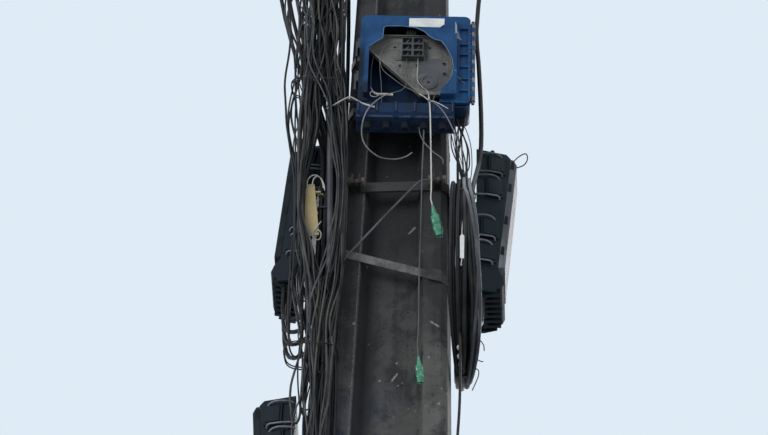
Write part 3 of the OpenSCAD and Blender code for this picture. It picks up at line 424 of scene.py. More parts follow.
# Two stripped sheath ends and a spare lead are twisted round the upper drop under the tray, a short lead
# hangs from the lip, and one white lead comes across from the bundle under the door. All are plastic
# sheaths on glass fibre, and all end cut.
knot = np.array([78.2, -190.3, 4760.5])
for name, points, (start_d, end_d), finish in (
        ("sheath_left", [knot, [72, -192, 4767], [66, -191.5, 4774], [56, -190, 4783]],
         (2.6, 2.2), drop_white),
        ("sheath_right", [knot, [86, -193, 4758], [98, -192, 4752], [118, -190, 4738]],
         (2.6, 1.6), drop_white),
        ("spare_lead", [knot, [88, -189, 4757], [101, -187, 4744], [115, -182, 4722], [127, -172, 4698],
                        [134, -162, 4683], [141, -154, 4671], [145, -151, 4660], [146, -150, 4640]],
         (2.2, 2.8), drop_dusty),
        ("short_lead", [[54, -140, 4734], [55, -136, 4722], [60, -130, 4708], [70, -126, 4693],
                        [83, -122, 4678], [94, -119, 4670], [101, -117, 4664], [105, -116, 4656],
                        [104, -116, 4648]], (2.0, 2.4), drop_dusty),
        ("entry_lead", [[-148, -125, 4809], [-130, -140, 4806], [-108, -160, 4802], [-93, -175, 4794],
                        [-80, -183, 4779], [-66, -184, 4767], [-50, -184, 4759], [-38, -184, 4754]],
         (3.2, 4.0), drop_white)):
    line = mm(smooth(points, 5))
    free_cord(name, line, mm(np.linspace(start_d, end_d, len(line)) / 2), finish, max(start_d, end_d) / 1000)
turns = np.linspace(0, 5 * pi, 61)
whipping = mm(knot + xyz(3 * np.cos(turns), 3 * np.sin(turns), 0.6 * (turns - 7)))
piece("whipping", [tube(whipping, 0.0009, 6)], drop_dusty)


# The street: plain pale ground, an even pale sky and soft lamps, none of it part of the pole. The sky
# lights the pole at 0.62 of the strength that the camera and reflections see.
def street_finish():
    """Even pale paving."""
    f = Finish("ground")
    f.colour = f.mix(f.noise(3, 3), (0.66, 0.66, 0.66), (0.7, 0.7, 0.69))
    return f.done(0.9)


u, v = np.meshgrid(np.linspace(-9, 9, 9), np.linspace(-9, 9, 9), indexing="ij")
piece("ground", [xyz(u, v, 0.0)], street_finish(), body=None, closed=False)
world = bpy.data.worlds.new("pale_sky")
bpy.context.scene.world = world
world.use_nodes = True
sky = Net(world.node_tree)
seen = sky.add("ShaderNodeLightPath", out="Is Camera Ray")
glossy = sky.add("ShaderNodeLightPath", out="Is Glossy Ray")
tint = sky.add("ShaderNodeMix", {"data_type": "RGBA"},
               {0: seen, 6: (0.86, 0.93, 1.0), 7: (0.74, 0.83, 0.92)}, 2)
glow = sky.add("ShaderNodeBackground", None, {0: tint, 1: 0.62 + seen * 0.38 + glossy * 0.38})
sky.add("ShaderNodeOutputWorld", None, {0: glow})
lamps_look_at = Vector((0, 0, 4.5))
for name, place, size, watts in (("front_lamp", (-3.0, -5.0, 5.5), 3.0, 210),
                                 ("side_lamp", (4.5, -2.5, 6.5), 2.5, 80),
                                 ("back_lamp", (1.5, 4.5, 7.0), 3.0, 160)):
    light = bpy.data.lights.new(name, "AREA")
    light.size = size
    light.energy = watts
    lamp = bpy.data.objects.new(name, light)
    lamp.location = place
    lamp.rotation_euler = (lamps_look_at - Vector(place)).to_track_quat("-Z", "Y").to_euler()
    bpy.context.scene.collection.objects.link(lamp)


# Pole: a tapered double-T shaft of vibrated concrete, cast in a steel mould and left outdoors for years.
# The faces are stained by rain and black mould, with pale grit where the skin has worn off.
def concrete_finish():
    """Dark wet-looking concrete with grit, pores, washed runs, mould, a blue smear and pale chips, paler low
    on the right, with painted shade round the box and in the recess's left corner and a painted highlight
    along the left flange's inner edge.
    """
    f = Finish("weathered_concrete")
    broad = f.noise(4.5, 6, 0.6)
    blotch = f.noise(17, 6, 0.68, shift=2.0, warp=0.4)
    runs = f.noise(42, 5, 0.6, (1, 1, 0.05), 5.0)
    fine = f.noise(300, 3, 0.7)
    grit = f.specks(230).ramp(0.42, 0.12)
    pores = f.specks(95, 4.0).ramp(0.22, 0.1) * f.noise(20, 2, shift=9).ramp(0.5, 0.62)
    f.colour = f.mix(broad.ramp(0.36, 0.66), (0.03, 0.031, 0.032), (0.068, 0.067, 0.064))
    f.lay(grit * fine.ramp(0.45, 0.65) * 0.55, (0.17, 0.165, 0.155))
    washed = f.noise(6, 4, shift=14).ramp(0.5, 0.66) * runs.ramp(0.4, 0.62)
    low_right = f.z.ramp(4.5, 3.7) * f.x.ramp(0.03, 0.09)
    f.lay((washed * 0.3 + low_right * 0.45) * (1.1 - blotch), (0.19, 0.185, 0.17))
    mould = (blotch * 0.62 + runs * 0.38).ramp(0.455, 0.58)
    f.lay(mould * 0.86, (0.01, 0.011, 0.013))
    # Painted shade: the pole is darkened round and under the box.
    shade_round_box = f.z.ramp(4.1, 4.6) * f.z.ramp(5.35, 5.0)
    f.lay(shade_round_box * 0.72, (0.007, 0.008, 0.01))
    smear = f.noise(9, 3, shift=21).ramp(0.42, 0.62) * (f.z + f.x * 0.6).ramp(4.16, 4.04)
    smear = smear * f.z.ramp(3.8, 3.95) * f.y.ramp(0.0, -0.02)
    f.lay(smear * 0.22, (0.014, 0.026, 0.07))
    inward = f.y + 0.13 - f.z * 0.01
    # Painted shade: the recess's left wall and the left of its floor are darkened nearly to black.
    corner = inward.ramp(0.003, 0.01) * f.x.ramp(-0.016, -0.052)
    f.lay(corner * 0.78, (0.006, 0.007, 0.009))
    # Painted highlight: a thin pale line down the left flange's inner edge.
    arris_highlight = (f.x + 0.127 - f.z * 0.014).size().ramp(0.003, 0.0012) * (1 - inward.ramp(0.004, 0.007))
    f.lay(arris_highlight * fine.ramp(0.35, 0.6) * 0.5, (0.17, 0.17, 0.165))
    spatter = f.specks(38, 1.5).ramp(0.13, 0.06) * f.noise(9, 3, shift=6).ramp(0.5, 0.6)
    f.lay(spatter * 0.6, (0.26, 0.255, 0.24))
    f.lay(pores, (0.008, 0.008, 0.008))
    for x, z, side, up in ((0.037, 4.527, 0.62, 0.78), (0.01, 4.146, 0.52, 0.85),
                           (0.091, 4.246, 0.77, -0.64), (0.112, 4.606, 0.95, 0.3), (0.128, 4.59, 0.6, 0.8)):
        along = (f.x - x) * side + (f.z - z) * up
        off = (f.x - x) * up - (f.z - z) * side + (fine - 0.5) * 0.004
        chip = along.size().ramp(0.014, 0.007) * off.size().ramp(0.0028, 0.001) * f.y.ramp(-0.01, -0.02)
        f.lay(chip * fine.ramp(0.34, 0.5), (0.22, 0.22, 0.215))
    height = fine * 0.5 + blotch * 1.2 + grit * 0.5 - pores * 1.5 - mould * 0.2
    return f.done(0.93 - mould * 0.12 - spatter * 0.2, height, 0.0012, shine=0.35)


def dress(finish, *names):
    """A CAD piece keeps its shape and gets the finish of the real one."""
    for n in names:
        for s in nodes[n].material_slots:
            s.material = finish.material


dress(concrete_finish(), "pole_shaft")

# Upper band clamp: a flat galvanised bar and a rear hoop drawn together by rusty bolts. Steel straps tie
# the box on, and one more has slipped down the pole.
old_steel = weathered("old_galvanised", (0.03, 0.031, 0.032), (0.02, 0.02, 0.02), (0.012, 0.011, 0.01),
                      0.6, 0.4, 0.7, 0.1, 260, 0.0005, 0.3)
dress(old_steel, "band_front", "band_rear", "cable_bar")
dress(weathered("strap_steel", (0.15, 0.15, 0.146), (0.085, 0.084, 0.08), (0.03, 0.028, 0.026),
                0.45, 0.5, 0.55, 0.3, 260, 0.0003), "box_straps", "hinge_pin")
dress(weathered("rusty_steel", (0.115, 0.11, 0.105), (0.085, 0.06, 0.045), (0.03, 0.024, 0.021),
                0.4, 0.2, 0.8, 0.1, 260, 0.0007), "band_bolts")


def strap_finish():
    """The slipped strap: bare and pale over the recess, darker where it lies on the flanges."""
    f = Finish("slipped_strap")
    fine = f.noise(260, 3, 0.7)
    patch = f.noise(34, 5, 0.65).ramp(0.42, 0.6)
    f.colour = f.mix(patch * 0.75, (0.118, 0.118, 0.114), (0.036, 0.036, 0.035))
    # Darker on both flanges, right and left of the recess.
    darker_on_flanges = f.x.ramp(0.05, 0.066) + f.x.ramp(-0.098, -0.11)
    f.lay(darker_on_flanges * (0.8 + 0.2 * patch), (0.016, 0.016, 0.017))
    f.lay(fine.ramp(0.3, 0.8) * 0.3, (0.03, 0.03, 0.03))
    return f.done(0.6, fine, 0.0003, 0.2, shine=0.35)


dress(strap_finish(), "loose_strap", "strap_buckle")


# Terminal box: a blue moulded base on two rails, with a hinged door whose middle is broken out. A navy lip
# under it, darker than the base as painted shade, holds rubber grommets, and a beige tray inside carries a
# block of adapters.
def door_finish():
    """Blue moulding: faded in clouds, dirtied in runs, with painted shade nearly black round the lower left
    of the break, and a chalky scuff and a scratch in the cells of the right margin."""
    f = Finish("door_blue")
    fine = f.noise(240, 3, 0.7, shift=7.7)
    runs = f.noise(55, 4, 0.6, (1, 1, 0.06), 3.1)
    soil = (f.noise(9, 5) * 0.5 + runs * 0.5 + (fine - 0.5) * 0.3).ramp(0.5, 0.68)
    clouds = f.noise(20, 4, 0.6, shift=1.3).ramp(0.36, 0.64)
    f.colour = f.mix(clouds, (0.003, 0.031, 0.1), (0.008, 0.053, 0.142))
    f.lay(soil * 0.6, (0.008, 0.018, 0.04))
    # Painted shade: the door's left side and its foot round the break go nearly black.
    ragged = f.x + f.noise(30, 3) * 0.03
    shaded_left_side = ragged.ramp(-0.04, -0.062) * f.z.ramp(4.955, 4.915)
    foot = ragged.ramp(0.088, 0.07) * f.z.ramp(4.835, 4.812)
    f.lay((shaded_left_side + foot - shaded_left_side * foot) * 0.92, (0.002, 0.004, 0.012))
    scuff = (5.011 - f.z - (f.x - 0.1295) * 2.7).ramp(0.0, 0.003) * f.z.ramp(4.969, 4.971)
    f.lay(scuff * f.x.ramp(0.13, 0.1315) * fine.ramp(0.25, 0.5), (0.2, 0.25, 0.31))
    scratch = (4.86 - f.z - (f.x - 0.13) * 0.9).size().ramp(0.0016, 0.0006)
    scratch = scratch * f.x.ramp(0.129, 0.131) * f.x.ramp(0.155, 0.146)
    f.lay(scratch * 0.7, (0.2, 0.24, 0.28))
    return f.done(0.5 + soil * 0.25, fine + soil * 0.5, 0.0003, shine=0.18)


def lip_finish():
    """Navy moulding, darker than the base as painted shade, with a painted highlight along the lower edge
    and on the rib faces.
    """
    f = Finish("lip_navy")
    fine = f.noise(240, 3, 0.7)
    soil = (f.noise(12, 5) * 0.6 + f.noise(55, 4, 0.6, (1, 1, 0.06), 3.1) * 0.4).ramp(0.46, 0.62)
    f.colour = f.mix(soil * 0.7, (0.004, 0.018, 0.052), (0.005, 0.009, 0.02))
    # Painted highlight: a pale line along the lip's lower front edge and on the rib faces.
    edge = (f.z - 4.7366).size().ramp(0.002, 0.0009) * f.noise(60, 3, shift=5).ramp(0.36, 0.5)
    out = (f.x - box_x / 1000) * -sin(gear_turn) + (f.y - box_back / 1000) * cos(gear_turn)
    ribs = out.ramp(-0.0785, -0.08) * f.z.ramp(4.742, 4.745)
    f.lay(edge * 0.75 + ribs * fine.ramp(0.3, 0.6) * 0.5, (0.052, 0.07, 0.115))
    return f.done(0.6, fine, 0.0003, shine=0.15)


def eased(made, width, segments=2):
    """A small round on every edge sharper than 35 degrees, with the flat faces left flat."""
    weld = made.modifiers.new("joined", "WELD")
    weld.merge_threshold = 0.00002
    bevel = made.modifiers.new("rounded_edges", "BEVEL")
    bevel.width = width
    bevel.segments = segments
    bevel.limit_method = "ANGLE"
    bevel.angle_limit = radians(35)
    return made


tray_beige = weathered("tray_beige", (0.128, 0.126, 0.118), (0.088, 0.086, 0.08), (0.036, 0.035, 0.033),
                       0.5, 0.3, 0.55)
dress(tray_beige, "splice_tray")
dress(lip_finish(), "cable_lip")
dress(door_finish(), "box_door")
dress(weathered("box_blue", (0.006, 0.024, 0.066), (0.011, 0.037, 0.092), (0.01, 0.014, 0.022),
                0.5, 0.4, 0.5, 0.0, 240, 0.0003, 0.2), "box_base")
# Painted highlight: the hinge knuckles are pale grey, mixed with a worn brown.
dress(weathered("knuckle_highlight_and_wear", (0.15, 0.145, 0.16), (0.075, 0.045, 0.048), (0.016, 0.018, 0.03),
                0.5, 0.2, 0.5, grain=300), "base_knuckles")
dress(weathered("grey_plastic", (0.06, 0.063, 0.066), (0.09, 0.09, 0.088), (0.025, 0.024, 0.023),
                0.5, 0.4, 0.6), "box_rails")
dress(weathered("adapter_dark", (0.018, 0.022, 0.026), (0.03, 0.036, 0.04), (0.07, 0.068, 0.062),
                0.4, 0.2, 0.45), "adapter_block", "door_latches")
# Painted shade: the grommets under the box are a bluish near-black.
dress(weathered("grommet_shaded", (0.004, 0.006, 0.012), (0.007, 0.01, 0.018), (0.01, 0.012, 0.016),
                0.4, 0.2, 0.8, shine=0.15), "lip_grommets")
for name in ("box_base", "box_door", "cable_lip", "splice_tray", "adapter_block"):
    eased(nodes[name], 0.0008)


# Splice tray: screw bosses, a coiling drum with grooves, a stepped ledge, ribs beside the adapters, a comb
# for the fibres and a smoother insert on its lower right, all moulded with it.
def round_outline(x, z, w, h, r):
    """Rounded rectangle about x, z, counter-clockwise seen from the front: a quarter circle of radius r
    at each corner."""
    a = np.linspace(0, pi / 2, 5)
    quarter = np.stack([np.cos(a), np.sin(a)], -1) * r
    w, h = w / 2 - r, h / 2 - r
    corners = [quarter @ np.array([[c, s], [-s, c]]) + [i * w, j * h]
               for c, s, i, j in ((1, 0, 1, 1), (0, 1, -1, 1), (-1, 0, -1, -1), (0, -1, 1, -1))]
    return np.concatenate(corners) + [x, z]


def plate(outline, back, front, lift=0):
    """A flat piece square to the box's front, from an outline in x and z: the outline at its back and at
    its front, with an optional lift of each point of the outline off the plane."""
    x, z = np.asarray(outline, float).T
    return mm(on_box(np.stack([xyz(x, y - lift, z) for y in (back, front)])))


def boss(x, z, profile, face, steps=20):
    """A turned piece on a face of the box: profile is a list of radius and height off the face."""
    profile = np.asarray(profile, float)
    a = np.linspace(0, 2 * pi, steps, endpoint=False)
    r, height = profile[:, :1], profile[:, 1:]
    return mm(on_box(xyz(x + r * np.cos(a), face - height, z + r * np.sin(a))))


tray_face, insert_face = -157.24, -158.04
tray_screws = [(-6, 4952), (70, 4952), (6, 4897), (43, 4898)]
insert_screws, drum_at = [(103, 4874), (102, 4904)], (69, 4848)
screw = [[5.2, -0.3], [5.2, 0.9], [4.6, 1.3], [3.4, 1.3], [3.2, 0.5], [0.05, 0.45]]
drum = [[20, -0.3], [20, 1.4], [19.2, 2.0], [18.2, 1.9], [17.6, 0.9], [16.4, 0.9], [15.8, 1.9], [14.6, 1.9],
        [14.0, 0.9], [12.8, 0.9], [12.2, 1.7], [3.6, 1.9], [3.0, 1.4], [0.05, 1.2]]
insert = [(48, 4914), (46, 4880), (47, 4852), (58, 4828), (84, 4822), (100, 4832), (110, 4852), (113, 4880),
          (112, 4914)]
fittings = [boss(x, z, screw, tray_face) for x, z in tray_screws]
for x, z, w, h, r, sunk, proud in (
        (23, 4916, 56, 7, 2, 0.3, 2.6), (83, 4918, 54, 2.4, 1, 0.3, 1.4), (29, 4985, 22, 5, 1, 3, 2),
        (29, 4993, 22, 17, 2, 3, 0.6), (5.5, 4944, 8, 62, 1.5, 0.3, 1.6), (61, 4944, 7, 62, 1.5, 0.3, 1.6),
        *[(x, 4995, 2.6, 20, 1, 2, 2) for x in (21, 26.5, 32, 37.5)]):
    fittings.append(plate(round_outline(x, z, w, h, r), tray_face + sunk, tray_face - proud))
eased(piece("tray_fittings", fittings, tray_beige), 0.0003, 1)
insert_grey = weathered("insert_grey", (0.046, 0.049, 0.054), (0.035, 0.037, 0.04), (0.026, 0.026, 0.027),
                        0.4, 0.3, 0.45)
insert_parts = [plate(insert, tray_face + 0.3, insert_face), boss(*drum_at, drum, insert_face, 40)]
insert_parts += [boss(x, z, screw, insert_face) for x, z in insert_screws]
eased(piece("tray_insert", insert_parts, insert_grey), 0.0004, 1)
# Painted shade: dark fills stand for the shade inside the screw holes, the drum's middle and the latch
# slots.
hole_shade = weathered("hole_shade", (0.006, 0.006, 0.007), (0.01, 0.01, 0.011), (0.02, 0.02, 0.02),
                      0.3, 0.2, 0.7, shine=0.1)
sockets = [(*at, 0) for at in tray_screws] + [(*at, 0.8) for at in insert_screws] + [(*drum_at, 1.75)]
piece("screw_sockets", [
    boss(x, z, [[3.15, 0.4], [3.15, 0.62 + up], [2.6, 0.7 + up], [0.05, 0.62 + up]], tray_face, 14)
    for x, z, up in sockets], hole_shade)

# Fibres on the tray: thin coated strands from the adapters round to the knot under the tray and curls
# round the drum, with the pale ferrules that sit aslant in the adapters.
strands = [tube(mm(smooth(on_box(points))), 0.0006, 6) for points in (
    [[16, -168, 4950], [6, -165, 4962], [-8, -163, 4965], [-25, -163, 4955], [-37, -164, 4927],
     [-37, -165, 4882], [-33, -166, 4840], [-31, -166, 4800], [-31, -160, 4774]],
    [[14, -166, 4938], [-6, -163, 4944], [-30, -162, 4938], [-38, -163, 4918], [-31, -166, 4878],
     [-8, -172, 4846], [17, -180, 4815], [50, -189, 4785], [76, -191, 4764]],
    [[79, -191, 4763], [84, -184, 4790], [96, -174, 4822], [113, -168, 4843], [134, -160, 4852],
     [156, -150, 4858]])]
for reach, first, last in ((21.5, 100, 250), (16.5, 115, 235), (24.0, 130, 215)):
    a = np.radians(np.arange(first, last + 1, 12.0))
    curl = xyz(drum_at[0] + reach * np.cos(a), -162.5 - reach * 0.03, drum_at[1] + reach * np.sin(a))
    strands.append(tube(mm(on_box(curl)), 0.0007, 6))
piece("tray_fibres", strands, drop_dusty)
ferrules = []
for x, reach in ((-12, np.array([4.6, -5.0, 4.2])), (12, np.array([4.0, -5.5, 3.6]))):
    for z in (-1, 0, 1):
        middle = np.array([33 + x, -167, 4941 + 58 / 3 * z])
        line = mm(on_box(np.stack([middle - reach, middle, middle + reach * 0.6, middle + reach])))
        ferrules.append(tube(line, mm([1.9, 1.9, 1.4, 1.3])))
piece("ferrules", ferrules, insert_grey)

# A blank paper label is stuck on the door's raised panel, its lower right corner curled. The break's pale
# edge, partly broken plastic and partly painted highlight, runs round the opening, from its lower right over
# the top to its left.
label_white = weathered("label_white", (0.56, 0.57, 0.56), (0.44, 0.45, 0.45), (0.22, 0.21, 0.19),
                        0.35, 0.2, 0.6)
door_front = -187.0
label = [(24, 4988), (60, 4987), (92, 4986.5), (97, 4990), (101, 4994), (101.5, 5013.5), (60, 5014),
         (24, 5013)]
curled = np.array([0, 0, 0.5, 3.0, 1.2, 0, 0, 0])
piece("door_label", [plate(label, door_front - 0.2, door_front - 1.15, curled)], label_white,
      body="door", flat=True)
panel_left, panel_foot, panel_wide, panel_high = -71, 4789, 200, 231
tear = np.array([[0.82, -0.02], [0.84, 0.07], [0.915, 0.16], [0.948, 0.23], [0.963, 0.34], [0.954, 0.44],
                 [0.92, 0.53], [0.88, 0.61], [0.83, 0.68], [0.76, 0.7], [0.7, 0.74], [0.645, 0.8],
                 [0.55, 0.85], [0.4, 0.87], [0.23, 0.865], [0.2, 0.85], [0.195, 0.765], [0.19, 0.705],
                 [0.145, 0.675], [0.05, 0.6]])
torn = xyz(panel_left + tear[:, 0] * panel_wide, door_front, panel_foot + tear[:, 1] * panel_high)
# Partly broken plastic, partly painted highlight: the pale blue line round the break.
torn_pale_and_highlight = weathered("torn_pale_and_highlight", (0.06, 0.135, 0.24), (0.1, 0.17, 0.25), (0.02, 0.045, 0.09),
                      0.4, 0.1, 0.6)
piece("torn_edge", [tube(mm(on_box(torn)), 0.001, 6)], torn_pale_and_highlight, body="door")

# A thin grey lead hangs from the tray's edge in the break. It carries a cut white sleeve with a curl of
# its stripped strand, all extruded plastic.
cable_grey = weathered("cable_grey", (0.048, 0.054, 0.064), (0.085, 0.09, 0.096), (0.03, 0.03, 0.031),
                       0.5, 0.3, 0.5, grain=300, shine=0.3)
sleeve_run = [[-49, -176.5, 4818], [-43, -177.5, 4803], [-35, -177, 4798], [-18, -177, 4797]]
sleeve = smooth(sleeve_run + [[-1, -176, 4796]], 5)
sleeve_r = np.interp(np.linspace(0, 1, len(sleeve)), [0, 0.45, 0.5, 1], [1.0, 1.0, 3.0, 2.8])
curl = smooth([[-36, -178, 4799], [-44, -179, 4805], [-50, -180, 4800], [-48, -181, 4791], [-40, -181, 4787],
               [-33, -180, 4791], [-33, -179, 4797], [-38, -179, 4801]], 5)
cut_sleeve = piece("cut_sleeve", [tube(mm(sleeve), mm(sleeve_r)), tube(mm(curl), 0.0009, 6)],
                   drop_white)
sleeve_line = mm(smooth([[-42, -163, 4937], [-46, -166.5, 4925], [-50, -168, 4897], [-51, -170, 4872],
                         [-50, -173, 4840]] + sleeve_run, 5))
free_cord("sleeve_lead", sleeve_line, 0.0008, cable_grey, 0.0016)


# Closures: black ribbed housings, whose covers are held all round by spring clips. The right one's cover
# has bleached pale.
def cover_finish():
    """Black plastic bleached pale by the sun and streaked with sooty runs, with painted sunlight making it
    paler along the low front.
    """
    f = Finish("cover_pale")
    fine = f.noise(220, 3, 0.7)
    runs = f.noise(70, 5, 0.65, (1, 1, 0.1), 3.1).ramp(0.42, 0.6)
    f.colour = f.mix(f.noise(22, 4, 0.6).ramp(0.36, 0.64), (0.052, 0.059, 0.068), (0.034, 0.039, 0.045))
    # Painted sunlight: the lower part of the cover is lightened.
    f.lay(f.z.ramp(4.56, 4.42) * fine.ramp(0.2, 0.5) * 0.8, (0.16, 0.175, 0.19))
    f.lay(runs * 0.62, (0.03, 0.034, 0.04))
    return f.done(0.6, fine + runs * 0.5, 0.0004, shine=0.3)


closure_black = weathered("closure_black", (0.003, 0.008, 0.012), (0.006, 0.013, 0.018),
                          (0.015, 0.018, 0.02), 0.35, 0.4, 0.6, 0.0, 200, 0.0004, 0.12)
closure_places = {"right": (172.1, 0, 4342, 0, 1), "left": (-207.1, 20, 4392, -8.5, 184),
                  "lower": (-184.1, -8, 3698, 0, 184)}
closure_foot, closure_top, closure_half_w, back_depth, top_depth = 60, 380, 78, 58, 88
side_slope = atan(28 / top_depth)


def closure_depth(z):
    """Depth from back to cover at a height, in millimetres: 58 at the foot, 88 at the top."""
    return back_depth + (top_depth - back_depth) * (z - closure_foot) / (closure_top - closure_foot)


def on_closure(side, points):
    """Points of a closure (out from its back, across, up from its foot) leaned, turned and moved to it."""
    x, y, z = np.moveaxis(np.asarray(points, float), -1, 0)
    x0, y0, z0, lean, turn = closure_places[side]
    lean, turn = radians(lean), radians(turn)
    x, z = x * cos(lean) + z * sin(lean), z * cos(lean) - x * sin(lean)
    return mm(xyz(x0 + x * cos(turn) - y * sin(turn), y0 + x * sin(turn) + y * cos(turn), z0 + z))


def on_cheek(side, cheek, points):
    """Points of a cheek (along it from the back, out of it, up from the foot). The cheeks taper towards
    the cover; cheek is -1 or 1."""
    u, v, z = np.moveaxis(np.asarray(points, float), -1, 0)
    x = u * cos(side_slope) + v * sin(side_slope)
    y = -closure_half_w + u * sin(side_slope) - v * cos(side_slope)
    return on_closure(side, xyz(x, -cheek * y, z))


# Each clip is bent over at both ends into a rounded lip, painted pale grey as a highlight. The covers have
# latch slots moulded in their sides, drawn as dark sheets of painted shade, a lug stands on top of each
# body, and the right one carries a loop of bare lead.
def leads(name, paths, radius, finish, steps=5, sides=8):
    """One piece of thin leads, each a tube along the smooth curve through its points in millimetres."""
    return piece(name, [tube(mm(smooth(p, steps)), radius, sides) for p in paths], finish)


# Painted highlight: the clips' bent lips are pale grey.
clip_lip_highlight = weathered("clip_lip_highlight", (0.12, 0.13, 0.145), (0.08, 0.088, 0.098), (0.03, 0.034, 0.04),
                     0.3, 0.2, 0.5)
clip_shares = [(0.04, 0.15), (0.245, 0.16), (0.6, 0.16), (0.805, 0.15)]
clip_behind, slot_behind, slot_heights = 56, 9, (352, 288, 196, 112)
lip_bend = np.array([[-22, 1, 0, -3], [-20, 3, 0, -1], [-14, 4.5, 1, 0], [-4, 7.5, 1.5, 0], [4, 9.4, 2, 0],
                     [14, 9.8, 2, 0], [23, 9.4, 0.5, -1], [28, 7.5, 0, -4], [30, 4, 0, -6]])
slot_outline = np.array([[-5, -11], [3, -12], [4.5, 10], [-2, 12]])
lug = np.array([[8, 378], [8, 383], [6.5, 384.4], [4.5, 384.4], [4.5, 391], [3.6, 392], [0.05, 392]])
a = np.linspace(0, 2 * pi, 16, endpoint=False)
lug_skin = xyz(34 + lug[:, :1] * np.cos(a), -56 + lug[:, :1] * np.sin(a), lug[:, 1:])
for side in closure_places:
    dress(closure_black, *[f"{side}_closure_{part}" for part in ("body", "gland", "clips", "cover")])
    dress(old_steel, f"{side}_closure_bracket")
    for part, width in (("body", 0.002), ("cover", 0.002), ("gland", 0.002), ("clips", 0.001)):
        eased(nodes[f"{side}_closure_{part}"], width)
    lips, slots = [], []
    for cheek in (-1, 1):
        for low, tall in clip_shares:
            foot, top = [closure_foot + (closure_top - closure_foot) * share for share in (low, low + tall)]
            pad = closure_depth(foot) - clip_behind
            for end, way in ((foot, -1), (top, 1)):
                along, out, away, up = lip_bend.T
                lip = xyz(pad + along, out, end + way * away + up)
                lips.append(tube(smooth(on_cheek(side, cheek, lip), 3), 0.0021))
        for z in slot_heights:
            x, up = (slot_outline[::-cheek] + [(closure_depth(z) - slot_behind) / cos(side_slope), z]).T
            slots.append(np.stack([on_cheek(side, cheek, xyz(x, out, up)) for out in (-1, 0.5)]))
    piece(side + "_clip_lips", lips, clip_lip_highlight)
    piece(side + "_latch_slots", slots, hole_shade, flat=True)
    piece(side + "_lug", [on_closure(side, lug_skin)], closure_black)
dress(cover_finish(), "right_closure_cover")
bail = [[249, -44, 4705], [254, -44, 4715], [262, -43, 4726], [271, -42, 4734], [278, -41, 4737],
        [281.5, -40, 4731], [281, -39, 4720], [275, -39, 4708], [266, -40, 4701], [252, -41, 4696]]
leads("closure_bail", [bail], 0.0013, cable_black)

# Cable bundle: black and grey cables from the bar down the left side of the pole, each extruded plastic
# over copper or glass, clamped under the bar and tied to one another with rubber ties.
black_rubber = weathered("black_rubber", (0.007, 0.008, 0.009), (0.013, 0.013, 0.014), (0.035, 0.033, 0.03),
                         0.4, 0.2, 0.7, shine=0.3)
dress(cable_black, "left_cables", "lower_cables", "looped_cables", "feeder_cable")
dress(cable_grey, "thick_cable", "tie_wire")
dress(black_rubber, "bar_clamps", "bundle_ties", "coil_ties")

# Spare drop cables: years of thin drops, clamped at both ends under the bar and hanging in long loops down
# the left side of the pole, where wire ties hold them to the bundle. Each is an extruded plastic lead,
# black when new, that dust has turned brown. The left group passes the plate on its left, the rest right.
cable_dusty = weathered("cable_dusty", (0.018, 0.02, 0.024), (0.042, 0.043, 0.043), (0.085, 0.079, 0.07),
                        0.5, 0.2, 0.55, grain=300, shine=0.25)
spare = np.random.default_rng(41)
bar_foot, clamped_top, gather_over = 5.378, 5.382, 0.16
clamp_y, clamp_r, loop_step = -0.096, 0.0052, 0.035
clamp_x = np.append(np.arange(-0.284, -0.1, 0.018), -0.06)
hang_z = [3.1, 3.35, 3.6, 3.8, 3.95, 4.09, 4.24, 4.33, 4.42, 4.52, 4.62, 4.75, 4.9, 5.05, 5.2, bar_foot]
hang_edges = mm([
    [[-176, -176, -176, -178, -186, -196, -204, -206, -204, -204, -208, -228, -240, -250, -262, -284],
     [-146, -146, -144, -138, -132, -128, -128, -138, -162, -188, -189, -170, -160, -156, -164, -170],
     [-118, -118, -118, -118, -118, -120, -124, -128, -128, -126, -130, -144, -152, -146, -132, -104],
     [-78, -78, -78, -80, -92, -80, -72, -68, -68, -68, -72, -90, -100, -100, -96, -94]],
    [[-150, -150, -150, -150, -152, -156, -158, -150, -128, -119, -121, -150, -185, -200, -206, -212],
     [-120, -120, -120, -116, -112, -110, -106, -100, -98, -98, -99, -104, -117, -122, -126, -104],
     [-136, -136, -136, -140, -146, -146, -140, -130, -126, -126, -130, -142, -156, -150, -132, -104],
     [-112, -112, -112, -114, -124, -124, -116, -96, -92, -92, -104, -108, -112, -104, -98, -94]]])


def stray(z, draws, reach):
    """How far a cable strays from its lane: a sum of slow sine waves down the pole. Each row of draws is
    one wave's length, start and size."""
    length, start, size = draws.T[:, :, None]
    return reach * (size * np.sin(2 * pi * z / length + start)).sum(axis=0)


def down(z, group, lane, depth, draws, reach):
    """One side of a loop: at each height, a share of the way from the left to the right edge of its
    group, and of the way from its front to its back. Near the top it gathers into the nearest clamp."""
    left, right, front, back = [np.interp(z, hang_z, edge) for edge in hang_edges[group]]
    lane = np.clip(lane + stray(z, draws[:3], reach), -0.05, 1.05)
    depth = np.clip(depth + stray(z, draws[3:], reach), 0, 1)
    x, y = left + lane * (right - left), front + depth * (back - front)
    seat_x = clamp_x[np.argmin(np.abs(clamp_x - x[0]))] + clamp_r * cos(draws[0, 1])
    seat_y = clamp_y + clamp_r * sin(draws[0, 1])
    free = rise((bar_foot - z) / gather_over)
    return xyz(x * free + seat_x * (1 - free), y * free + seat_y * (1 - free), z)


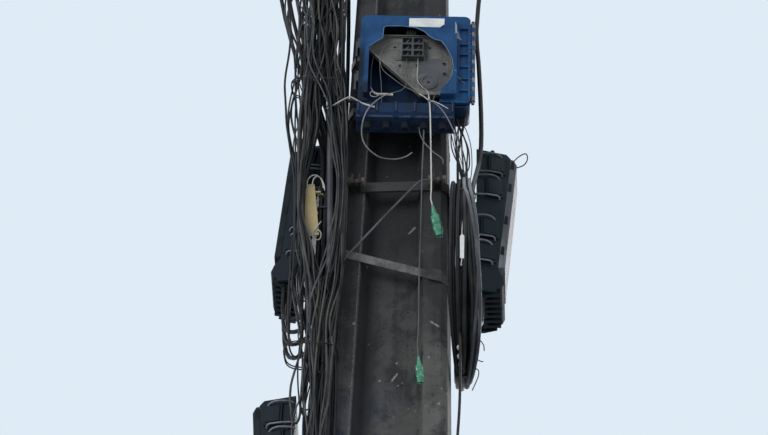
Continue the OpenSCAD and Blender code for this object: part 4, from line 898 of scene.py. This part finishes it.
def spare_loop(group, low, lanes, depths, draws, reach):
    """A cable under the bar: down one lane, round a half circle at its lowest point and up another."""
    turn_z = low + 0.03
    z = np.append(np.arange(clamped_top, turn_z, -loop_step), turn_z)
    first = down(z, group, lanes[0], depths[0], draws[:6], reach)
    last = down(z, group, lanes[1], depths[1], draws[6:], reach)
    middle, half = 0.5 * (first[-1] + last[-1]), 0.5 * (first[-1] - last[-1])
    turn = np.linspace(0, pi, 9)[1:-1, None]
    bottom = middle + np.cos(turn) * half - np.sin(turn) * np.array([0, 0, 0.02 + np.linalg.norm(half)])
    return smooth(np.concatenate([first, bottom, last[::-1]]), 2)


def spare_draws(count):
    """Lengths from 0.22 to 0.9 m, starts all round and sizes from a tenth to one, for each wave."""
    return np.stack([spare.uniform(low, high, count) for low, high in ((0.22, 0.9), (0, 6.28), (0.1, 1))], 1)


for name, finish, slot, counts, radii, reach in (
        ("spare_drops_black", cable_black, "cable_black", (14, 11), (0.0015, 0.0032), 0.11),
        ("spare_drops_dusty", cable_dusty, "cable_black", (7, 6), (0.0014, 0.0028), 0.15),
        ("spare_drops_grey", cable_grey, "cable_grey", (3, 2), (0.0013, 0.002), 0.18)):
    loops = []
    for group in (0, 1):
        for _ in range(counts[group]):
            lane = spare.uniform(0.0, 0.9)
            lanes = (lane, min(1.0, lane + spare.uniform(0.08, 0.5)))
            low = spare.choice([spare.uniform(3.3, 3.9), spare.uniform(3.95, 4.3)])
            line = spare_loop(group, low, lanes, spare.uniform(0, 1, 2), spare_draws(12), reach)
            loops.append(tube(line, spare.uniform(*radii), 6))
    piece(name, loops, finish)

# A yellow plastic plate, blank, hangs from the bundle on white ties. Old wire, wound round at three
# heights, ties the spare drops to the bundle.
dress(weathered("plate_yellow", (0.31, 0.245, 0.105), (0.34, 0.285, 0.15), (0.1, 0.08, 0.05),
                0.4, 0.3, 0.55), "tag_plate")
leads("plate_ties", [
    [[-183, -95, 4606], [-184, -99, 4614], [-183, -101, 4626], [-176, -101, 4637], [-166, -100, 4640],
     [-157, -97, 4634], [-152, -93, 4624], [-150, -90, 4612]],
    [[-174, -95, 4607], [-173, -99, 4615], [-170, -102, 4628], [-163, -101, 4636], [-155, -97, 4632],
     [-149, -92, 4620], [-147, -89, 4606]],
    [[-160, -97, 4484], [-154, -101, 4488], [-148, -99, 4480], [-150, -94, 4470], [-158, -93, 4468],
     [-166, -96, 4474], [-165, -99, 4484], [-156, -102, 4498], [-149, -101, 4510]]],
      0.0013, drop_white)


def wrap(z, left, right, front, back):
    """A wire wound 1.7 times round a rounded rectangle, rising as it goes: the cosine and sine of an
    ellipse are raised to the power 0.55 to square it up."""
    t = np.linspace(0, 2 * pi * 1.7, 64) + 0.3
    wide, deep = [np.sign(w) * np.abs(w) ** 0.55 for w in (np.cos(t), np.sin(t))]
    return xyz(0.5 * (left + right) + 0.5 * (right - left) * wide,
               0.5 * (front + back) + 0.5 * (back - front) * deep, z + 0.0009 * t)


piece("spare_ties", [tube(wrap(*at), 0.0014, 6) for at in (
    (4.865, -0.228, -0.112, -0.158, -0.095), (4.155, -0.205, -0.099, -0.15, -0.064),
    (3.715, -0.182, -0.089, -0.151, -0.073))], old_steel)


# Earth lead: a black single core from the foot of the box down the right edge of the pole to the ground,
# under nailed saddles lower down.
def pole_half_width(z):
    """Half the width of the recessed face, in millimetres: 175 at the ground, 70 at the top."""
    return 175 - 105 * np.asarray(z, float) / 7500


def pole_half_depth(z):
    """Half the depth between the faces, in millimetres: 130 at the ground, 55 at the top."""
    return 130 - 75 * np.asarray(z, float) / 7500


slack = mm([[149, -122, 4779], [149, -121, 4762], [142, -110, 4728], [135, -98, 4680], [136, -95, 4565],
            [139, -95, 4430], [141, -95, 4300], [143, -96, 4175], [143, -98, 4054], [138, -96, 3950]])
edge_z = np.arange(3800, 0, -300)
edge = mm(xyz(pole_half_width(edge_z) + 3.5, 12 - pole_half_depth(edge_z), edge_z))
foot = [[edge[-1, 0] + 0.002, edge[-1, 1] - 0.0005, 0.005]]
earth_line = smooth(np.concatenate([slack, edge, foot]), 5)
piece("earth_lead", [tube(earth_line, 0.0028)], cable_black)
saddles = []
half_arch = [[-1, -16], [0.9, -12], [1.2, -6], [7.2, -2.5], [7.8, 0]]
arch_out, arch_along = np.array(half_arch + [[x, -y] for x, y in half_arch[-2::-1]]).T
for z in (3720, 2900, 2100, 1300, 500):
    arch = smooth(mm(xyz(pole_half_width(z) + arch_out, 12 - pole_half_depth(z) + arch_along, z)), 4)
    normal = np.cross(unit(np.gradient(arch, axis=0)), [0, 0, 1.0])
    rim = [(-0.006, -0.0005), (0.006, -0.0005), (0.006, 0.0005), (-0.006, 0.0005)]
    saddles.append(np.stack([arch + normal * v + np.array([0, 0, u]) for u, v in rim], axis=1))
piece("lead_saddles", saddles, old_steel, flat=True)

# Two thin leads and ten finer wires join the box to the coil. They are plastic over copper or glass, and
# go into the box's foot at one end and between the coil's turns at the other.
leads("joining_leads", [
    [[124, -126, 4779], [124, -127, 4762], [132, -131, 4722], [146, -134, 4670], [154, -138, 4620],
     [153, -146, 4580], [150, -158, 4545]],
    [[134, -120, 4779], [134, -119, 4764], [146, -116, 4730], [158, -112, 4690], [160, -116, 4640],
     [152, -130, 4602], [144, -148, 4566]]], 0.0015, cable_dusty, 6)
share, bow = np.array([0.25, 0.52, 0.78]), np.array([0.7, 1.0, 0.7])
for name, finish, count in (("tangle_black", cable_black, 7), ("tangle_dusty", cable_dusty, 3)):
    wires = []
    for _ in range(count):
        x, y, end = spare.uniform(112, 150), spare.uniform(-124, -112), spare.uniform(143, 166)
        swing = spare.uniform(-1, 1, 2) * [15, 12] + spare.uniform(-1, 1, (3, 2)) * [3, 5]
        middle = xyz(np.maximum(x + (end - x) * share + bow * swing[:, 0], 121),
                     y - 26 * share + bow * swing[:, 1], 4779 - 204 * share)
        line = smooth([[x, y, 4779], [x, y, 4764], *middle, [end, -146, 4575]])
        wires.append(tube(mm(line), spare.uniform(0.0009, 0.0019), 6))
    piece(name, wires, finish)

# The cut tails of the coil's rubber ties stick out of its lower half: four short ends, each a thin tube of
# black rubber.
leads("tie_tails", [[[176, -84, 4212], [183, -84, 4204], [189, -85, 4192], [190, -86, 4178]],
                    [[170, -38, 4196], [178, -40, 4188], [186, -44, 4182]],
                    [[168, -12, 4190], [176, -17, 4180], [175, -22, 4160], [164, -28, 4124]],
                    [[150, -14, 4192], [150, -18, 4180], [145, -22, 4172]]],
      0.0011, cable_black, sides=6)

# A paper tag, blank, hangs from the coil on a white string, which runs down behind it and ends in a small
# seal. Three white plastic clips sit on the coil's lower left turns.
tag_outline = np.array([[147.5, 4306], [155.5, 4305], [156, 4362], [151.5, 4368], [147, 4362]])
tag = mm(np.stack([xyz(tag_outline[:, 0], y, tag_outline[:, 1]) for y in (-221.2, -221.9)]))
coil_tag = piece("coil_tag", [tag], label_white, flat=True)
clips = []
for x, y, z in ((137.5, -70, 4200), (137, -48, 4194), (138.5, -25, 4190)):
    clip = mm([[x, y + 2, z - 5], [x, y, z - 3], [x, y, z], [x, y, z + 3], [x, y + 2, z + 7]])
    clips.append(tube(clip, mm([0.6, 2.6, 3.4, 2.6, 1.2]), 10))
piece("coil_clips", clips, drop_white)
string = mm(smooth([[153, -190, 4470], [152, -205, 4430], [151, -218, 4385], [151, -220.5, 4366],
                    [151, -220.5, 4306], [150, -220, 4296], [150, -219, 4290]], 5))
sealed = np.interp(np.arange(len(string)), [0, len(string) - 4, len(string) - 1], [0.0009, 0.0009, 0.0026])
free_cord("tag_string", string, sealed, drop_white, 0.0018)

bpy.context.scene.view_settings.view_transform = "Standard"
